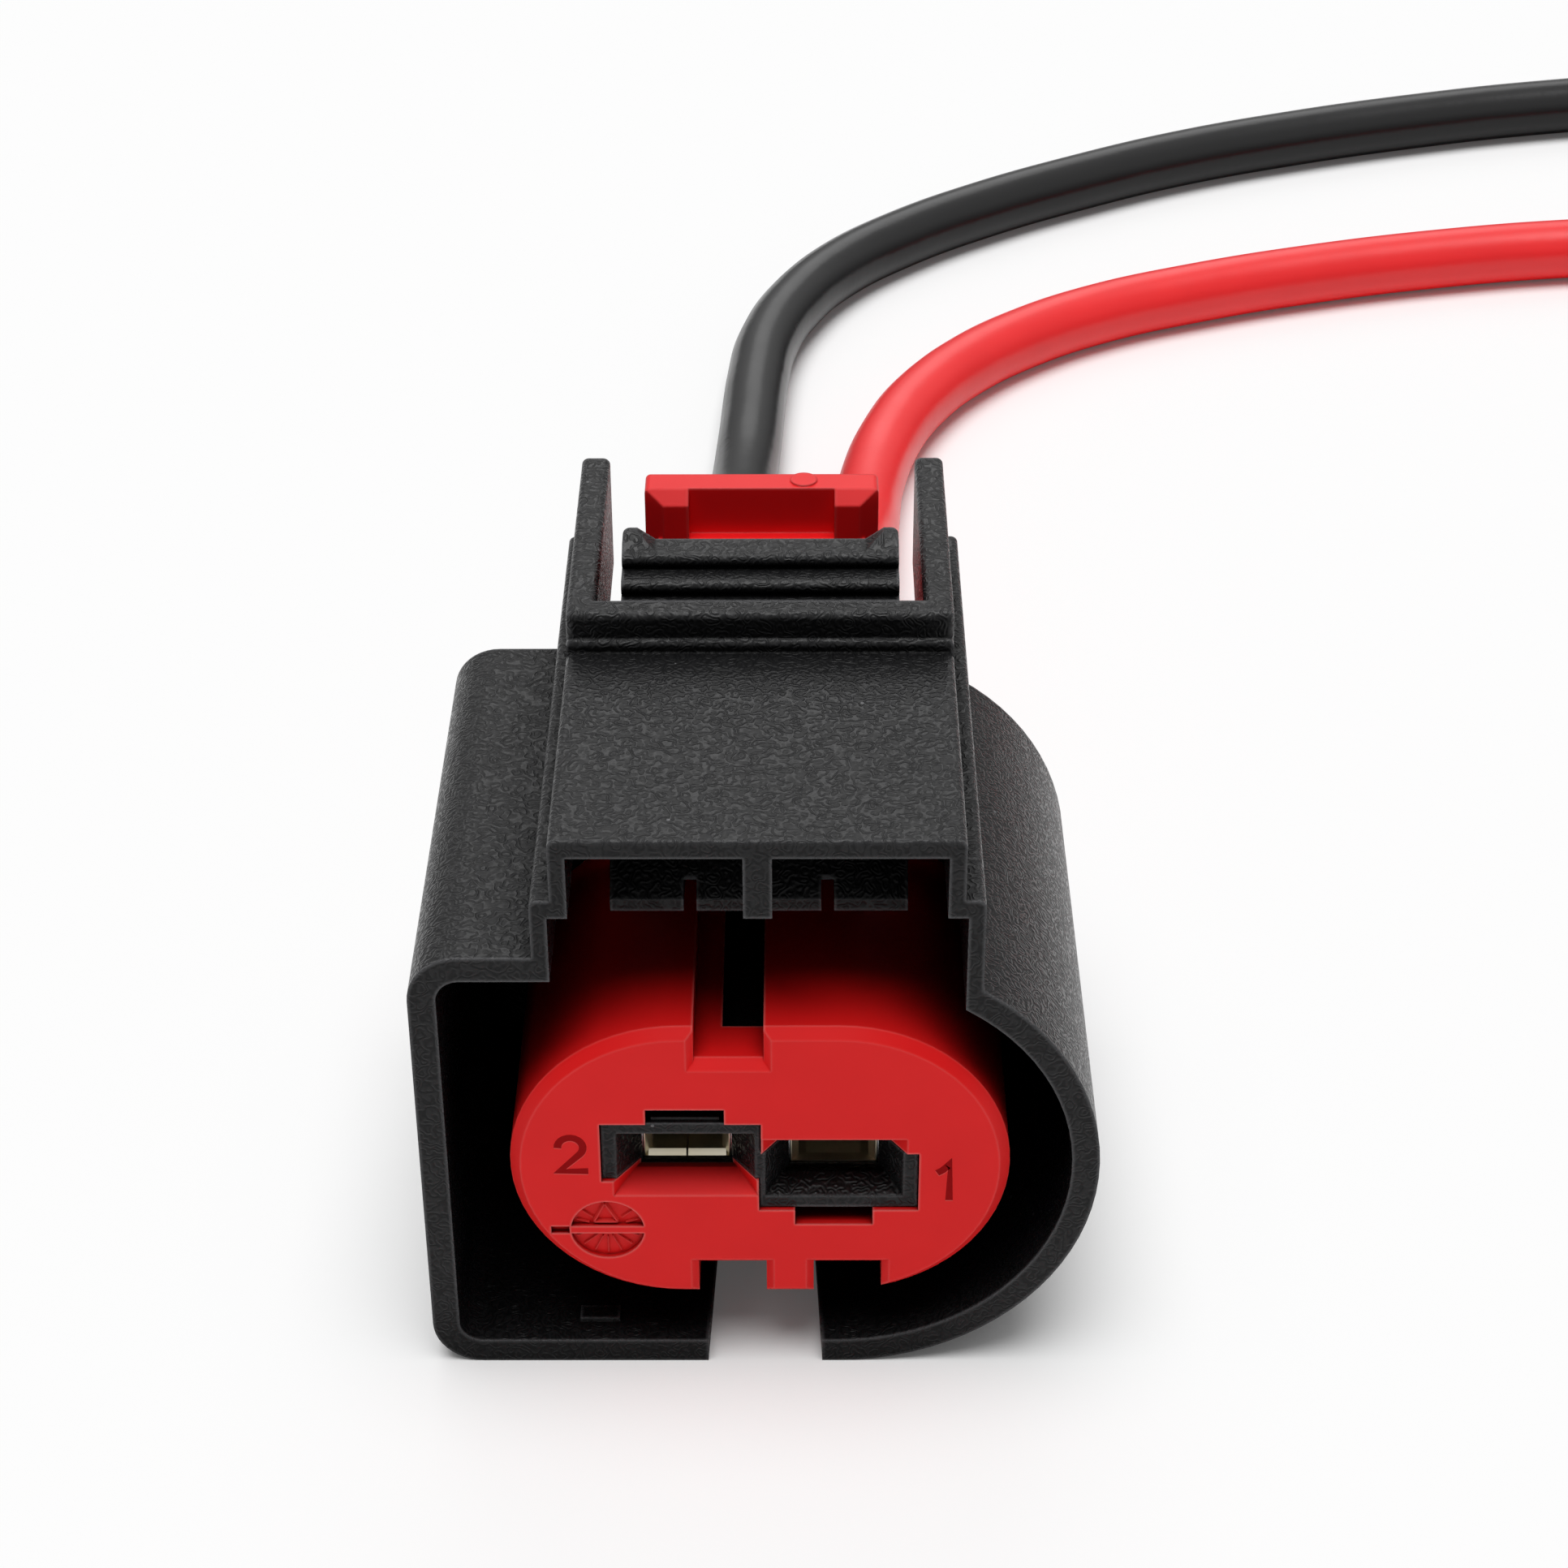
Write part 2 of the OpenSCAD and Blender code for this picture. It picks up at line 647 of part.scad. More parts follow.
// Sunk dial with a bar across it, and the short mark on its left
module dial() {
  front = insert_front - over;
  back = insert_front + mark_d;
  bar = dial_r / 4;
  difference() {
    rod(dial_x, dial_z, dial_r, front, back);
    block([dial_x - 2 * dial_r, front, dial_z - bar / 2], [0, back + over, dial_z + bar / 2]);
  }
  block([dial_x - 1.54 * dial_r, front, dial_z - bar / 2], [dial_x - 1.04 * dial_r, back, dial_z + bar / 2]);
}

// Cap over the core that carries the keying grooves and the lead-in ramps
module insert() {
  window_w = groove_w * 0.6;
  window_y = insert_front + 1.5;
  color("#d4262a") placed() difference() {
    union() {
      difference() {
        insert_body();
        along(face_back, insert_back + over) oblong(insert_r - sleeve_wall);
      }
      trough(0);
    }
    each_cavity() mouth_frame(insert_front - over, fit_gap);
    each_cavity() cavity_space();
    each_cavity() relief(face_back + over, fit_gap);
    dial();
    translate([0, 0, mid_z]) {
      groove(upper_x, upper_d);
      mirror([0, 0, 1]) groove(lower_x, groove_d);
      mirror([0, 0, 1]) groove(lower_x + groove_w + key_w, groove_d);
    }
    block(
      [upper_x + groove_w - window_w, window_y, mid_z + trough_z - over],
      [upper_x + groove_w, insert_back - 1.5, mid_z + insert_r]
    );
  }
}

// Head of the position lock with its two sloped posts, before its corners are rounded
module head() {
  half = head_w / 2;
  inner = recess_w / 2;
  block([-half, head_y, tongue_top - 0.1], [half, head_back, head_z]);
  both_sides() intersection() {
    upward(tongue_top - 0.1, head_z) polygon([
      [inner, head_y + 0.1], [inner, post_y], [half - 1.4 * post_l, post_y],
      [half, head_y], [half, head_y + 0.1]
    ]);
    across(0, head_w) polygon([
      [post_y, tongue_top - 0.1], [post_y, head_z - post_l], [head_y, head_z],
      [head_y + 0.1, head_z], [head_y + 0.1, tongue_top - 0.1]
    ]);
  }
}

// Slide behind the latch pad: head with two posts, and a flanged tongue under the guide lips
module position_lock() {
  half = head_w / 2;
  ledge = head_z - recess_h;
  color("#c81f26") placed() {
    intersection() {
      along(post_y, head_back) capped(half, tongue_top - 0.1, head_z, 0.75 * edge_r);
      head();
    }
    upward(head_z - 0.1, head_z + gate_h) translate([gate_x, head_back - gate_r]) circle(gate_r);
    block([-half + post_l, post_y, tongue_top - 0.1], [half - post_l, head_y + 0.1, ledge]);
    block([-tongue_w / 2, tongue_y, tongue_z], [tongue_w / 2, head_back, tongue_z + flange_t]);
    block([-tongue_w / 2 + flange_w, tongue_y, tongue_z], [tongue_w / 2 - flange_w, head_back, tongue_top]);
  }
}

// Silicone ring with two ribs round the foot of the core
module mating_seal() {
  y1 = socket_l - run_gap;
  third = (y1 - mating_seal_y) / 3;
  color("#3a3a3d") placed() difference() {
    union() {
      along(mating_seal_y, y1) oblong(insert_r - 0.1);
      for (i = [1, 2]) along(mating_seal_y + i * third - 0.3, mating_seal_y + i * third + 0.3) {
        oblong(insert_r - 0.1 + seal_rib);
      }
    }
    along(mating_seal_y - over, y1 + over) oblong(core_r + fit_gap);
  }
}

// Receptacle contact: box, spring tongue, conductor crimp and insulation crimp
module contact(number) {
  half_w = contact_w / 2;
  half_h = contact_h / 2;
  y0 = steel_y;
  y1 = steel_y + contact_l;
  crimp_r = strand_r + fit_gap + sheet;
  hold_r = lead_r + fit_gap + sheet;
  low = cavity_shift - half_h;
  lip = 0.65 * sheet;
  color("#c9b27a") placed() at_cavity(number) translate([-contact_x, 0, 0]) {
    translate([0, 0, cavity_shift]) {
      difference() {
        block([-half_w, y0, -half_h], [half_w, y1, half_h]);
        block([-half_w + sheet, y0 - over, -half_h + sheet], [half_w - sheet, y1 + over, half_h - sheet]);
        block([-sheet / 8, y0 - over, -half_h - over], [sheet / 8, y1 - sheet, 0]);
        upward(-half_h + sheet, half_h - sheet) polygon([
          [-half_w + sheet / 8, y0 - over], [half_w - sheet / 8, y0 - over], [half_w - sheet / 8, y0],
          [half_w - sheet, y0 + 1.2 * sheet], [-half_w + sheet, y0 + 1.2 * sheet], [-half_w + sheet / 8, y0]
        ]);
      }
      both_sides() across(sheet / 8, half_w - sheet / 2) polygon([
        [y0, -half_h + sheet / 2], [y0, -half_h + sheet], [y0 + lip, -half_h + sheet + lip],
        [y0 + 2 * lip, -half_h + sheet + lip], [y0 + 2 * lip, -half_h + sheet / 2]
      ]);
      across(-half_w + 2 * sheet, half_w - 2 * sheet) polygon([
        [y0 + spring_l / 12, half_h - sheet], [y0 + spring_l / 2, half_h - 2.5 * sheet],
        [y0 + spring_l * 2 / 3, half_h - 2.5 * sheet], [y0 + spring_l, half_h - sheet],
        [y0 + spring_l, half_h - sheet / 2], [y0 + spring_l / 12, half_h - sheet / 2]
      ]);
    }
    difference() {
      union() {
        rod(0, 0, crimp_r, crimp_y, room_back);
        rod(0, 0, hold_r, hold_y, hold_y + hold_l);
        block([-half_w / 2, y1 - 0.1, low], [half_w / 2, room_back, low + sheet]);
        block([-half_w / 2, room_back - 0.05, low], [half_w / 2, hold_y + sheet, low + sheet]);
        block([-half_w / 2, hold_y, -hold_r + sheet / 2], [half_w / 2, hold_y + sheet, low + sheet]);
      }
      rod(0, 0, strand_r + fit_gap, crimp_y - over, hold_y + sheet);
      rod(0, 0, lead_r + fit_gap, hold_y + sheet, hold_y + hold_l + over);
    }
  }
}

// Steel sleeve round the contact box, with the window for the lance
module contact_sleeve(number) {
  half_w = contact_w / 2 + fit_gap;
  half_h = contact_h / 2 + fit_gap;
  low = [-half_w - steel_t, steel_y, -half_h - steel_t];
  color("#d9d9dc") placed() at_cavity(number) translate([-contact_x, 0, cavity_shift]) difference() {
    block(low, [half_w + steel_t, steel_y + steel_l, half_h + steel_t]);
    block([-half_w, steel_y - over, -half_h], [half_w, steel_y + steel_l + over, half_h]);
    block(
      [-half_w / 2, steel_y + spring_l * 2 / 3, half_h - sheet],
      [half_w / 2, steel_y + spring_l, half_h + over]
    );
  }
}

// Ribbed silicone plug round a lead in its bore
module wire_seal(number) {
  x = (number == 2 ? -1 : 1) * contact_x;
  rib_r = bore_r - fit_gap / 2;
  rib = wire_seal_l / 7;
  color("#8e3b2e") placed() difference() {
    union() {
      rod(x, mid_z, rib_r - 0.16, wire_seal_y, wire_seal_y + wire_seal_l);
      for (i = [0, 2, 4, 6]) rod(x, mid_z, rib_r, wire_seal_y + i * rib, wire_seal_y + (i + 1) * rib);
    }
    rod(x, mid_z, lead_r + fit_gap / 2, wire_seal_y - over, wire_seal_y + wire_seal_l + over);
  }
}

// Stripped strands of a lead in the crimp of its contact
module conductor(number) {
  x = (number == 2 ? -1 : 1) * contact_x;
  color("#c98a55") placed() rod(x, mid_z, strand_r, crimp_y - 0.3, overall_l / 2);
}

// Direction of a route at point i
function heading(route, i) =
  let (a = route[max(i - 1, 0)], b = route[min(i + 1, len(route) - 1)]) (b - a) / norm(b - a);

// Ring of points round point i of a route
function ring(route, i, r) =
  let (d = heading(route, i), flat = cross(d, [0, 0, 1]), side = flat / norm(flat), up = cross(side, d))
  [
    for (k = [0 : lead_sides - 1])
      let (turn = 360 * k / lead_sides) route[i] + r * (cos(turn) * side + sin(turn) * up)
  ];

// Round tube swept along a route
module tube(route, r) {
  last = len(route) - 1;
  n = lead_sides;
  polyhedron(
    points = [for (i = [0 : last]) each ring(route, i, r)],
    faces = [
      [for (k = [0 : n - 1]) k],
      for (i = [0 : last - 1]) for (k = [0 : n - 1])
        [i * n + k, (i + 1) * n + k, (i + 1) * n + (k + 1) % n, i * n + (k + 1) % n],
      [for (k = [n - 1 : -1 : 0]) last * n + k]
    ]
  );
}

// Stripped strands at the far end of a lead
module lead_end(route) {
  last = len(route) - 1;
  way = heading(route, last);
  translate(route[last]) rotate([0, 90, atan2(way[1], way[0])]) cylinder(h = strip_l, r = strand_r);
}

module black_lead() {
  color("#1f1f21") tube(black_route, lead_r);
}

module red_lead() {
  color("#e02328") tube(red_route, lead_r);
}

module black_lead_end() {
  color("#c98a55") lead_end(black_route);
}

module red_lead_end() {
  color("#c98a55") lead_end(red_route);
}

housing();
insert();
position_lock();
mating_seal();
contact(1);  // contact_1
contact(2);  // contact_2
contact_sleeve(1);  // contact_sleeve_1
contact_sleeve(2);  // contact_sleeve_2
wire_seal(1);  // wire_seal_1
wire_seal(2);  // wire_seal_2
conductor(1);  // conductor_1
conductor(2);  // conductor_2
black_lead();
red_lead();
black_lead_end();
red_lead_end();
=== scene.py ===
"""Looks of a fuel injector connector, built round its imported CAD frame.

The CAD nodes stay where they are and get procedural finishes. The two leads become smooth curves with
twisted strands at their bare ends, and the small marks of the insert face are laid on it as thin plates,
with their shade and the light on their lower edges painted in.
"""

import logging
import math
from dataclasses import dataclass
from enum import Enum
from typing import Any

import bmesh
import bpy
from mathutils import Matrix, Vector


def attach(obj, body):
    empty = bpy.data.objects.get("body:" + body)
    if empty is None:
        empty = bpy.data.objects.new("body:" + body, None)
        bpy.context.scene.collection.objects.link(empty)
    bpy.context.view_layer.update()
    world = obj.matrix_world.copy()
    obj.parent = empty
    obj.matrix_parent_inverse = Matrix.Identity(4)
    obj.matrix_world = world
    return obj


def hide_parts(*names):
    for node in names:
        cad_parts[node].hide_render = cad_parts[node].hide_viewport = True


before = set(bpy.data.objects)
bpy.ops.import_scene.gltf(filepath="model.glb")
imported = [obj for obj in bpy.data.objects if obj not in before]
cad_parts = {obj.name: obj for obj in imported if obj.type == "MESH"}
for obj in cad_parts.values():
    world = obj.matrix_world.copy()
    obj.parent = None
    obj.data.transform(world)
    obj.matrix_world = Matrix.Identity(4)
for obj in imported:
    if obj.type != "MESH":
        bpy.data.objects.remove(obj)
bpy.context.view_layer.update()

LOG = logging.getLogger("connector")
MM = 0.001
BODY = "connector"
# The face of the insert, and the middle height of its contact openings, in the part's frame.
FRONT_Y_MM = -11.0
MID_Z_MM = 6.6


class Slot(str, Enum):
    """Material slots of the record."""

    HOUSING = "housing_black"
    INSERT = "insert_red"
    LOCK = "lock_red"
    MATING_SEAL = "seal_grey"
    CONTACT = "contact_tin"
    STEEL = "sleeve_steel"
    WIRE_SEAL = "seal_brown"
    COPPER = "copper"
    BLACK_LEAD = "insulation_black"
    RED_LEAD = "insulation_red"


class Grain(Enum):
    """Kinds of surface texture."""

    MAZE = "winding ridges of a spark-eroded mould"
    FINE = "fine even stipple"
    DRAWN = "fine lines along the connector, as on rolled strip"
    SKIN = "soft waves, as on extruded insulation"


@dataclass(frozen=True)
class Finish:
    """One material: what it is and what its surface is like.

    Attributes:
        name: Common name of the material.
        colour: Base colour as sRGB hex.
        dark: Colour of the faint mottling, or of the hollows between ridges, as sRGB hex.
        roughness: Mean roughness.
        ior: Index of refraction.
        metallic: 1 for bare metal, 0 otherwise.
        specular: Strength of the mirror part, 0.5 follows from the index of refraction.
        grain: Kind of surface texture.
        grain_mm: Size of one grain.
        depth_mm: Height of the grain.
        wobble: How far roughness varies either way.
        subsurface: Share of light that spreads under the surface.
        edge: Highlight painted on edges that stand out, as sRGB hex, or empty for none.
        edge_mm: Radius at which edges look rounded, 0 for none.
        speck: Colour of sparse pale specks as sRGB hex, or empty for none.
        painted_hollow_shade: Share of its colour and sheen that is taken away as painted shade in deep
            hollows.
        painted_shade_sky: Shares of open sky between which that painted shade fades out.
    """

    name: str
    colour: str
    dark: str
    roughness: float
    ior: float = 1.5
    metallic: float = 0.0
    specular: float = 0.5
    grain: Grain = Grain.FINE
    grain_mm: float = 0.12
    depth_mm: float = 0.003
    wobble: float = 0.05
    subsurface: float = 0.0
    edge: str = ""
    edge_mm: float = 0.0
    speck: str = ""
    painted_hollow_shade: float = 0.0
    painted_shade_sky: tuple[float, float] = (0.25, 0.85)


FINISHES: dict[Slot, Finish] = {
    # Polyamide from a spark-eroded mould: near black, with winding ridges that break up its sheen, with a
    # painted highlight on edges that stand out and painted shade in deep hollows. The real ridges are finer
    # and are drawn this coarse so that they show.
    Slot.HOUSING: Finish(
        "moulded_polyamide_black", "#222223", "#0e0e0f", 0.32, ior=1.53, specular=0.17, grain=Grain.MAZE,
        grain_mm=0.125, depth_mm=0.013, wobble=0.11, edge="#626264", edge_mm=0.1, speck="#6c6c6e",
        painted_hollow_shade=0.9,
    ),
    # PBT from a smoother mould: deep red with a satin skin and a little light spreading inside, with a
    # painted highlight on its edges and painted shade in its deep hollows.
    Slot.INSERT: Finish(
        "moulded_pbt_red", "#fa1d1e", "#ec1a1b", 0.45, ior=1.55, specular=0.16, grain_mm=0.09,
        depth_mm=0.002, subsurface=0.06, edge="#fb7672", edge_mm=0.07, painted_hollow_shade=0.9, painted_shade_sky=(0.22, 0.6),
    ),
    # The same PBT from a polished mould: glossier, so that the sky shows on its top, with a painted
    # highlight on its edges.
    Slot.LOCK: Finish(
        "polished_pbt_red", "#f41f22", "#e41a1d", 0.34, ior=1.55, specular=0.16, grain_mm=0.14,
        depth_mm=0.002, subsurface=0.06, edge="#f04e4e", edge_mm=0.1,
    ),
    # Silicone rubber, oiled and moulded: matt dark grey.
    Slot.MATING_SEAL: Finish(
        "silicone_grey", "#2a2a2c", "#232325", 0.6, ior=1.41, specular=0.3, grain_mm=0.2, depth_mm=0.004,
    ),
    # Tin on copper alloy, rolled: pale gold with lines along the strip.
    Slot.CONTACT: Finish(
        "tinned_copper_alloy", "#e4e1d8", "#c9bd9c", 0.3, metallic=1.0, grain=Grain.DRAWN, grain_mm=0.05,
        depth_mm=0.001, wobble=0.1,
    ),
    # Stainless strip, rolled: bright and nearly white.
    Slot.STEEL: Finish(
        "rolled_stainless_steel", "#dcdcde", "#c3c3c6", 0.2, metallic=1.0, grain=Grain.DRAWN, grain_mm=0.05,
        depth_mm=0.001, wobble=0.08,
    ),
    # Silicone rubber, coloured: matt brown red.
    Slot.WIRE_SEAL: Finish(
        "silicone_brown", "#7d3122", "#6d291c", 0.6, ior=1.41, specular=0.3, grain_mm=0.2, depth_mm=0.004,
    ),
    # Bare copper wire, drawn and twisted: bright, with a faint darker mottle of tarnish.
    Slot.COPPER: Finish(
        "drawn_copper", "#cf8a5c", "#a9633b", 0.28, metallic=1.0, grain_mm=0.1, depth_mm=0.002, wobble=0.1,
    ),
    # Extruded PVC, black: satin, with slight waves along its skin.
    Slot.BLACK_LEAD: Finish(
        "extruded_pvc_black", "#0c0c0d", "#09090a", 0.25, ior=1.54, specular=0.29, grain=Grain.SKIN,
        grain_mm=0.9, depth_mm=0.012,
    ),
    # Extruded PVC, red: satin and bright.
    Slot.RED_LEAD: Finish(
        "extruded_pvc_red", "#fd1f23", "#ee1b1f", 0.34, ior=1.54, specular=0.5, grain=Grain.SKIN,
        grain_mm=0.9, depth_mm=0.012, subsurface=0.04,
    ),
}

# The sunk marks of the insert: their painted shade, the painted light on their lower edges, and the raised
# ribs of the dial.
MARK_SHADE = Finish("painted_shade_pbt_red", "#a31013", "#990e11", 0.6, ior=1.55, specular=0.03, grain_mm=0.06)
MARK_LIT_EDGE = Finish("painted_highlight_pbt_red", "#f2524f", "#ee4a48", 0.5, ior=1.55, specular=0.12, grain_mm=0.06)
MARK_RIB = Finish("rib_pbt_red", "#e43c3a", "#dc3634", 0.45, ior=1.55, specular=0.12, grain_mm=0.06)


def srgb(code: str) -> tuple[float, float, float, float]:
    """Converts an sRGB hex colour to linear light.

    Args:
        code: Colour such as "#1d1d1e".

    Returns:
        Linear red, green, blue and alpha 1.
    """
    parts = [int(code[i:i + 2], 16) / 255 for i in (1, 3, 5)]
    line = [c / 12.92 if c <= 0.04045 else ((c + 0.055) / 1.055) ** 2.4 for c in parts]
    return (line[0], line[1], line[2], 1.0)


def add_node(tree: bpy.types.NodeTree, kind: str, **values: Any) -> bpy.types.Node:
    """Adds a shader node with its settings and links.

    Args:
        tree: Node tree to add it to.
        kind: Blender's name of the node type.
        **values: Settings by their own name, and inputs as "in_" with their name or number. An input takes
            a constant, a socket, or a node whose first output it is linked to.

    Returns:
        The new node.
    """
    node = tree.nodes.new(kind)
    for name, value in values.items():
        if not name.startswith("in_"):
            setattr(node, name, value)
            continue
        key = name[3:]
        socket = node.inputs[int(key) if key.isdigit() else key.replace("_", " ")]
        if isinstance(value, bpy.types.Node):
            value = value.outputs[0]
        if isinstance(value, bpy.types.NodeSocket):
            tree.links.new(value, socket)
        else:
            socket.default_value = value
    return node


class Paint:
    """Makes the procedural materials and puts them on pieces.

    Attributes:
        CLOUD_MM: Size of the mottling.
        SPECK_MM: Distance between specks.
        SPECK_SHARE: Radius of a speck as a share of that distance.
        PAINTED_SHADE_MM: How near other surfaces have to be for painted shade in hollows.
        HIGHLIGHT_GAIN: How fast edges turn to the colour of their painted highlight.
        RAYS: Samples that look for edges and hollows.
        SWIRL_GRAINS: Size of the swirls that the ridges follow, in grains.
        SWIRL_TURN: Angle in radians through which the ridges' wave goes over the swirls' whole range.
        RIDGE_SHARE: Height of the ridges beside the fine grain.
        PORES: Pores along one wave of the skin.
        PORE_SHARE: Their height beside the waves.
        STRETCH: Scale of the texture on rolled strip, whose lines are long.
        SPREAD_M: How far red, green and blue light goes under the surface.
    """

    CLOUD_MM = 2.5
    SPECK_MM = 1.3
    SPECK_SHARE = 0.035
    PAINTED_SHADE_MM = 4.0
    HIGHLIGHT_GAIN = 1.6
    RAYS = 6
    SWIRL_GRAINS = 3
    SWIRL_TURN = 42.0
    RIDGE_SHARE = 0.5
    PORES = 8
    PORE_SHARE = 0.12
    STRETCH = (1.0, 0.04, 1.0)
    SPREAD_M = (0.0006, 0.0001, 0.0001)

    def __init__(self, finishes: dict[Slot, Finish]) -> None:
        """Builds one material per finish.

        Args:
            finishes: The finishes by slot.
        """
        self.by_slot: dict[Slot, bpy.types.Material] = {slot: self.make(f) for slot, f in finishes.items()}

    def height(
        self, tree: bpy.types.NodeTree, place: bpy.types.NodeSocket, finish: Finish,
    ) -> bpy.types.Node:
        """Adds the surface texture.

        Args:
            tree: Node tree.
            place: Position in metres.
            finish: What the surface is like.

        Returns:
            Node that gives a height between about 0 and 1.
        """
        size = finish.grain_mm * MM
        if finish.grain is Grain.DRAWN:
            place = add_node(tree, "ShaderNodeMapping", in_Vector=place, in_Scale=self.STRETCH).outputs[0]
        fine = add_node(tree, "ShaderNodeTexNoise", in_Vector=place, in_Scale=1 / size, in_Detail=2.0)
        if finish.grain is Grain.MAZE:
            swirl = add_node(
                tree, "ShaderNodeTexNoise", in_Vector=place, in_Scale=1 / (self.SWIRL_GRAINS * size),
                in_Detail=1.0,
            )
            turns = add_node(tree, "ShaderNodeMath", operation="MULTIPLY", in_0=swirl, in_1=self.SWIRL_TURN)
            ridge = add_node(tree, "ShaderNodeMath", operation="SINE", in_0=turns)
            return add_node(
                tree, "ShaderNodeMath", operation="MULTIPLY_ADD", in_0=ridge, in_1=self.RIDGE_SHARE,
                in_2=fine,
            )
        if finish.grain is Grain.SKIN:
            pores = add_node(
                tree, "ShaderNodeTexNoise", in_Vector=place, in_Scale=self.PORES / size, in_Detail=2.0,
            )
            return add_node(
                tree, "ShaderNodeMath", operation="MULTIPLY_ADD", in_0=pores, in_1=self.PORE_SHARE,
                in_2=fine,
            )
        return fine

    def edges(
        self, tree: bpy.types.NodeTree, radius_mm: float,
    ) -> tuple[bpy.types.NodeSocket, bpy.types.Node]:
        """Adds rounded-edge shading.

        Args:
            tree: Node tree.
            radius_mm: Radius of the rounding.

        Returns:
            The rounded normal, and the mask of the painted highlight, more than 0 near edges that stand
            out.
        """
        reach = radius_mm * MM
        soft = add_node(tree, "ShaderNodeBevel", samples=self.RAYS, in_Radius=reach).outputs["Normal"]
        depth = add_node(
            tree, "ShaderNodeAmbientOcclusion", inside=True, only_local=True, samples=self.RAYS,
            in_Distance=reach,
        ).outputs["AO"]
        thin = add_node(tree, "ShaderNodeMath", operation="SUBTRACT", in_0=1.0, in_1=depth)
        return soft, add_node(tree, "ShaderNodeMath", operation="MULTIPLY", in_0=thin, in_1=self.HIGHLIGHT_GAIN)

    def hollows(self, tree: bpy.types.NodeTree, finish: Finish) -> bpy.types.Node:
        """Adds painted shade in deep hollows.

        Args:
            tree: Node tree.
            finish: What the surface is like.

        Returns:
            Node that gives the share of colour and sheen that the painted shade leaves.
        """
        lit = add_node(
            tree, "ShaderNodeAmbientOcclusion", samples=self.RAYS, in_Distance=self.PAINTED_SHADE_MM * MM,
        ).outputs["AO"]
        return add_node(
            tree, "ShaderNodeMapRange", in_Value=lit, in_From_Min=finish.painted_shade_sky[0],
            in_From_Max=finish.painted_shade_sky[1], in_To_Min=1 - finish.painted_hollow_shade,
        )

    def colour(
        self, tree: bpy.types.NodeTree, place: bpy.types.NodeSocket, share: Any, finish: Finish,
    ) -> bpy.types.NodeSocket:
        """Adds the mottled colour with its specks.

        Args:
            tree: Node tree.
            place: Position in metres.
            share: Node or socket that gives the share of the lighter colour.
            finish: What the surface is like.

        Returns:
            The colour.
        """
        mottled = add_node(
            tree, "ShaderNodeMix", data_type="RGBA", in_0=share, in_6=srgb(finish.dark),
            in_7=srgb(finish.colour),
        ).outputs[2]
        if not finish.speck:
            return mottled
        dots = add_node(tree, "ShaderNodeTexVoronoi", in_Vector=place, in_Scale=1 / (self.SPECK_MM * MM))
        near = add_node(tree, "ShaderNodeMath", operation="LESS_THAN", in_0=dots, in_1=self.SPECK_SHARE)
        return add_node(
            tree, "ShaderNodeMix", data_type="RGBA", in_0=near, in_6=mottled, in_7=srgb(finish.speck),
        ).outputs[2]

    def make(self, finish: Finish) -> bpy.types.Material:
        """Builds a material.

        Args:
            finish: What it looks like.

        Returns:
            The material.
        """
        material = bpy.data.materials.new(finish.name)
        material.use_nodes = True
        tree = material.node_tree
        tree.nodes.clear()
        place = add_node(tree, "ShaderNodeTexCoord").outputs["Object"]
        cloud = add_node(
            tree, "ShaderNodeTexNoise", in_Vector=place, in_Scale=1 / (self.CLOUD_MM * MM), in_Detail=2.0,
        )
        height = self.height(tree, place, finish)
        share = height if finish.grain is Grain.MAZE else cloud
        colour = self.colour(tree, place, share, finish)
        sheen: Any = finish.specular
        relief: dict[str, Any] = {}
        # Edges that stand out get a painted highlight.
        if finish.edge_mm:
            relief["in_Normal"], highlight_mask = self.edges(tree, finish.edge_mm)
            colour = add_node(
                tree, "ShaderNodeMix", data_type="RGBA", in_0=highlight_mask, in_6=colour, in_7=srgb(finish.edge),
            ).outputs[2]
        # Deep hollows get painted shade: colour and sheen fade towards black there.
        if finish.painted_hollow_shade:
            unshaded = self.hollows(tree, finish)
            sheen = add_node(tree, "ShaderNodeMath", operation="MULTIPLY", in_0=unshaded, in_1=finish.specular)
            colour = add_node(
                tree, "ShaderNodeMix", data_type="RGBA", in_0=unshaded, in_6=(0, 0, 0, 1), in_7=colour,
            ).outputs[2]
        bump = add_node(
            tree, "ShaderNodeBump", in_Height=height, in_Distance=finish.depth_mm * MM, **relief,
        )
        rough = add_node(
            tree, "ShaderNodeMapRange", in_Value=share, in_To_Min=finish.roughness + finish.wobble,
            in_To_Max=finish.roughness - finish.wobble,
        )
        shader = add_node(
            tree, "ShaderNodeBsdfPrincipled", in_Base_Color=colour, in_Roughness=rough,
            in_Metallic=finish.metallic, in_IOR=finish.ior, in_Specular_IOR_Level=sheen, in_Normal=bump,
            in_Subsurface_Weight=finish.subsurface, in_Subsurface_Radius=self.SPREAD_M,
            in_Subsurface_Scale=1.0,
        )
        add_node(tree, "ShaderNodeOutputMaterial", in_Surface=shader)
        return material

    @staticmethod
    def put(piece: bpy.types.Object, material: bpy.types.Material) -> None:
        """Puts a material on a piece.

        Args:
            piece: Object with a mesh or curve.
            material: The material.
        """
        piece.data.materials.clear()
        piece.data.materials.append(material)


def add_piece(name: str, data: bpy.types.ID, material: bpy.types.Material) -> bpy.types.Object:
    """Puts a mesh or curve in the scene as a piece of the connector.

    Args:
        name: Name of the piece.
        data: Its mesh or curve.
        material: Its material.

    Returns:
        The object.
    """
    piece = bpy.data.objects.new(name, data)
    bpy.context.scene.collection.objects.link(piece)
    Paint.put(piece, material)
    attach(piece, BODY)
    LOG.info("piece %s, %s", name, material.name)
    return piece


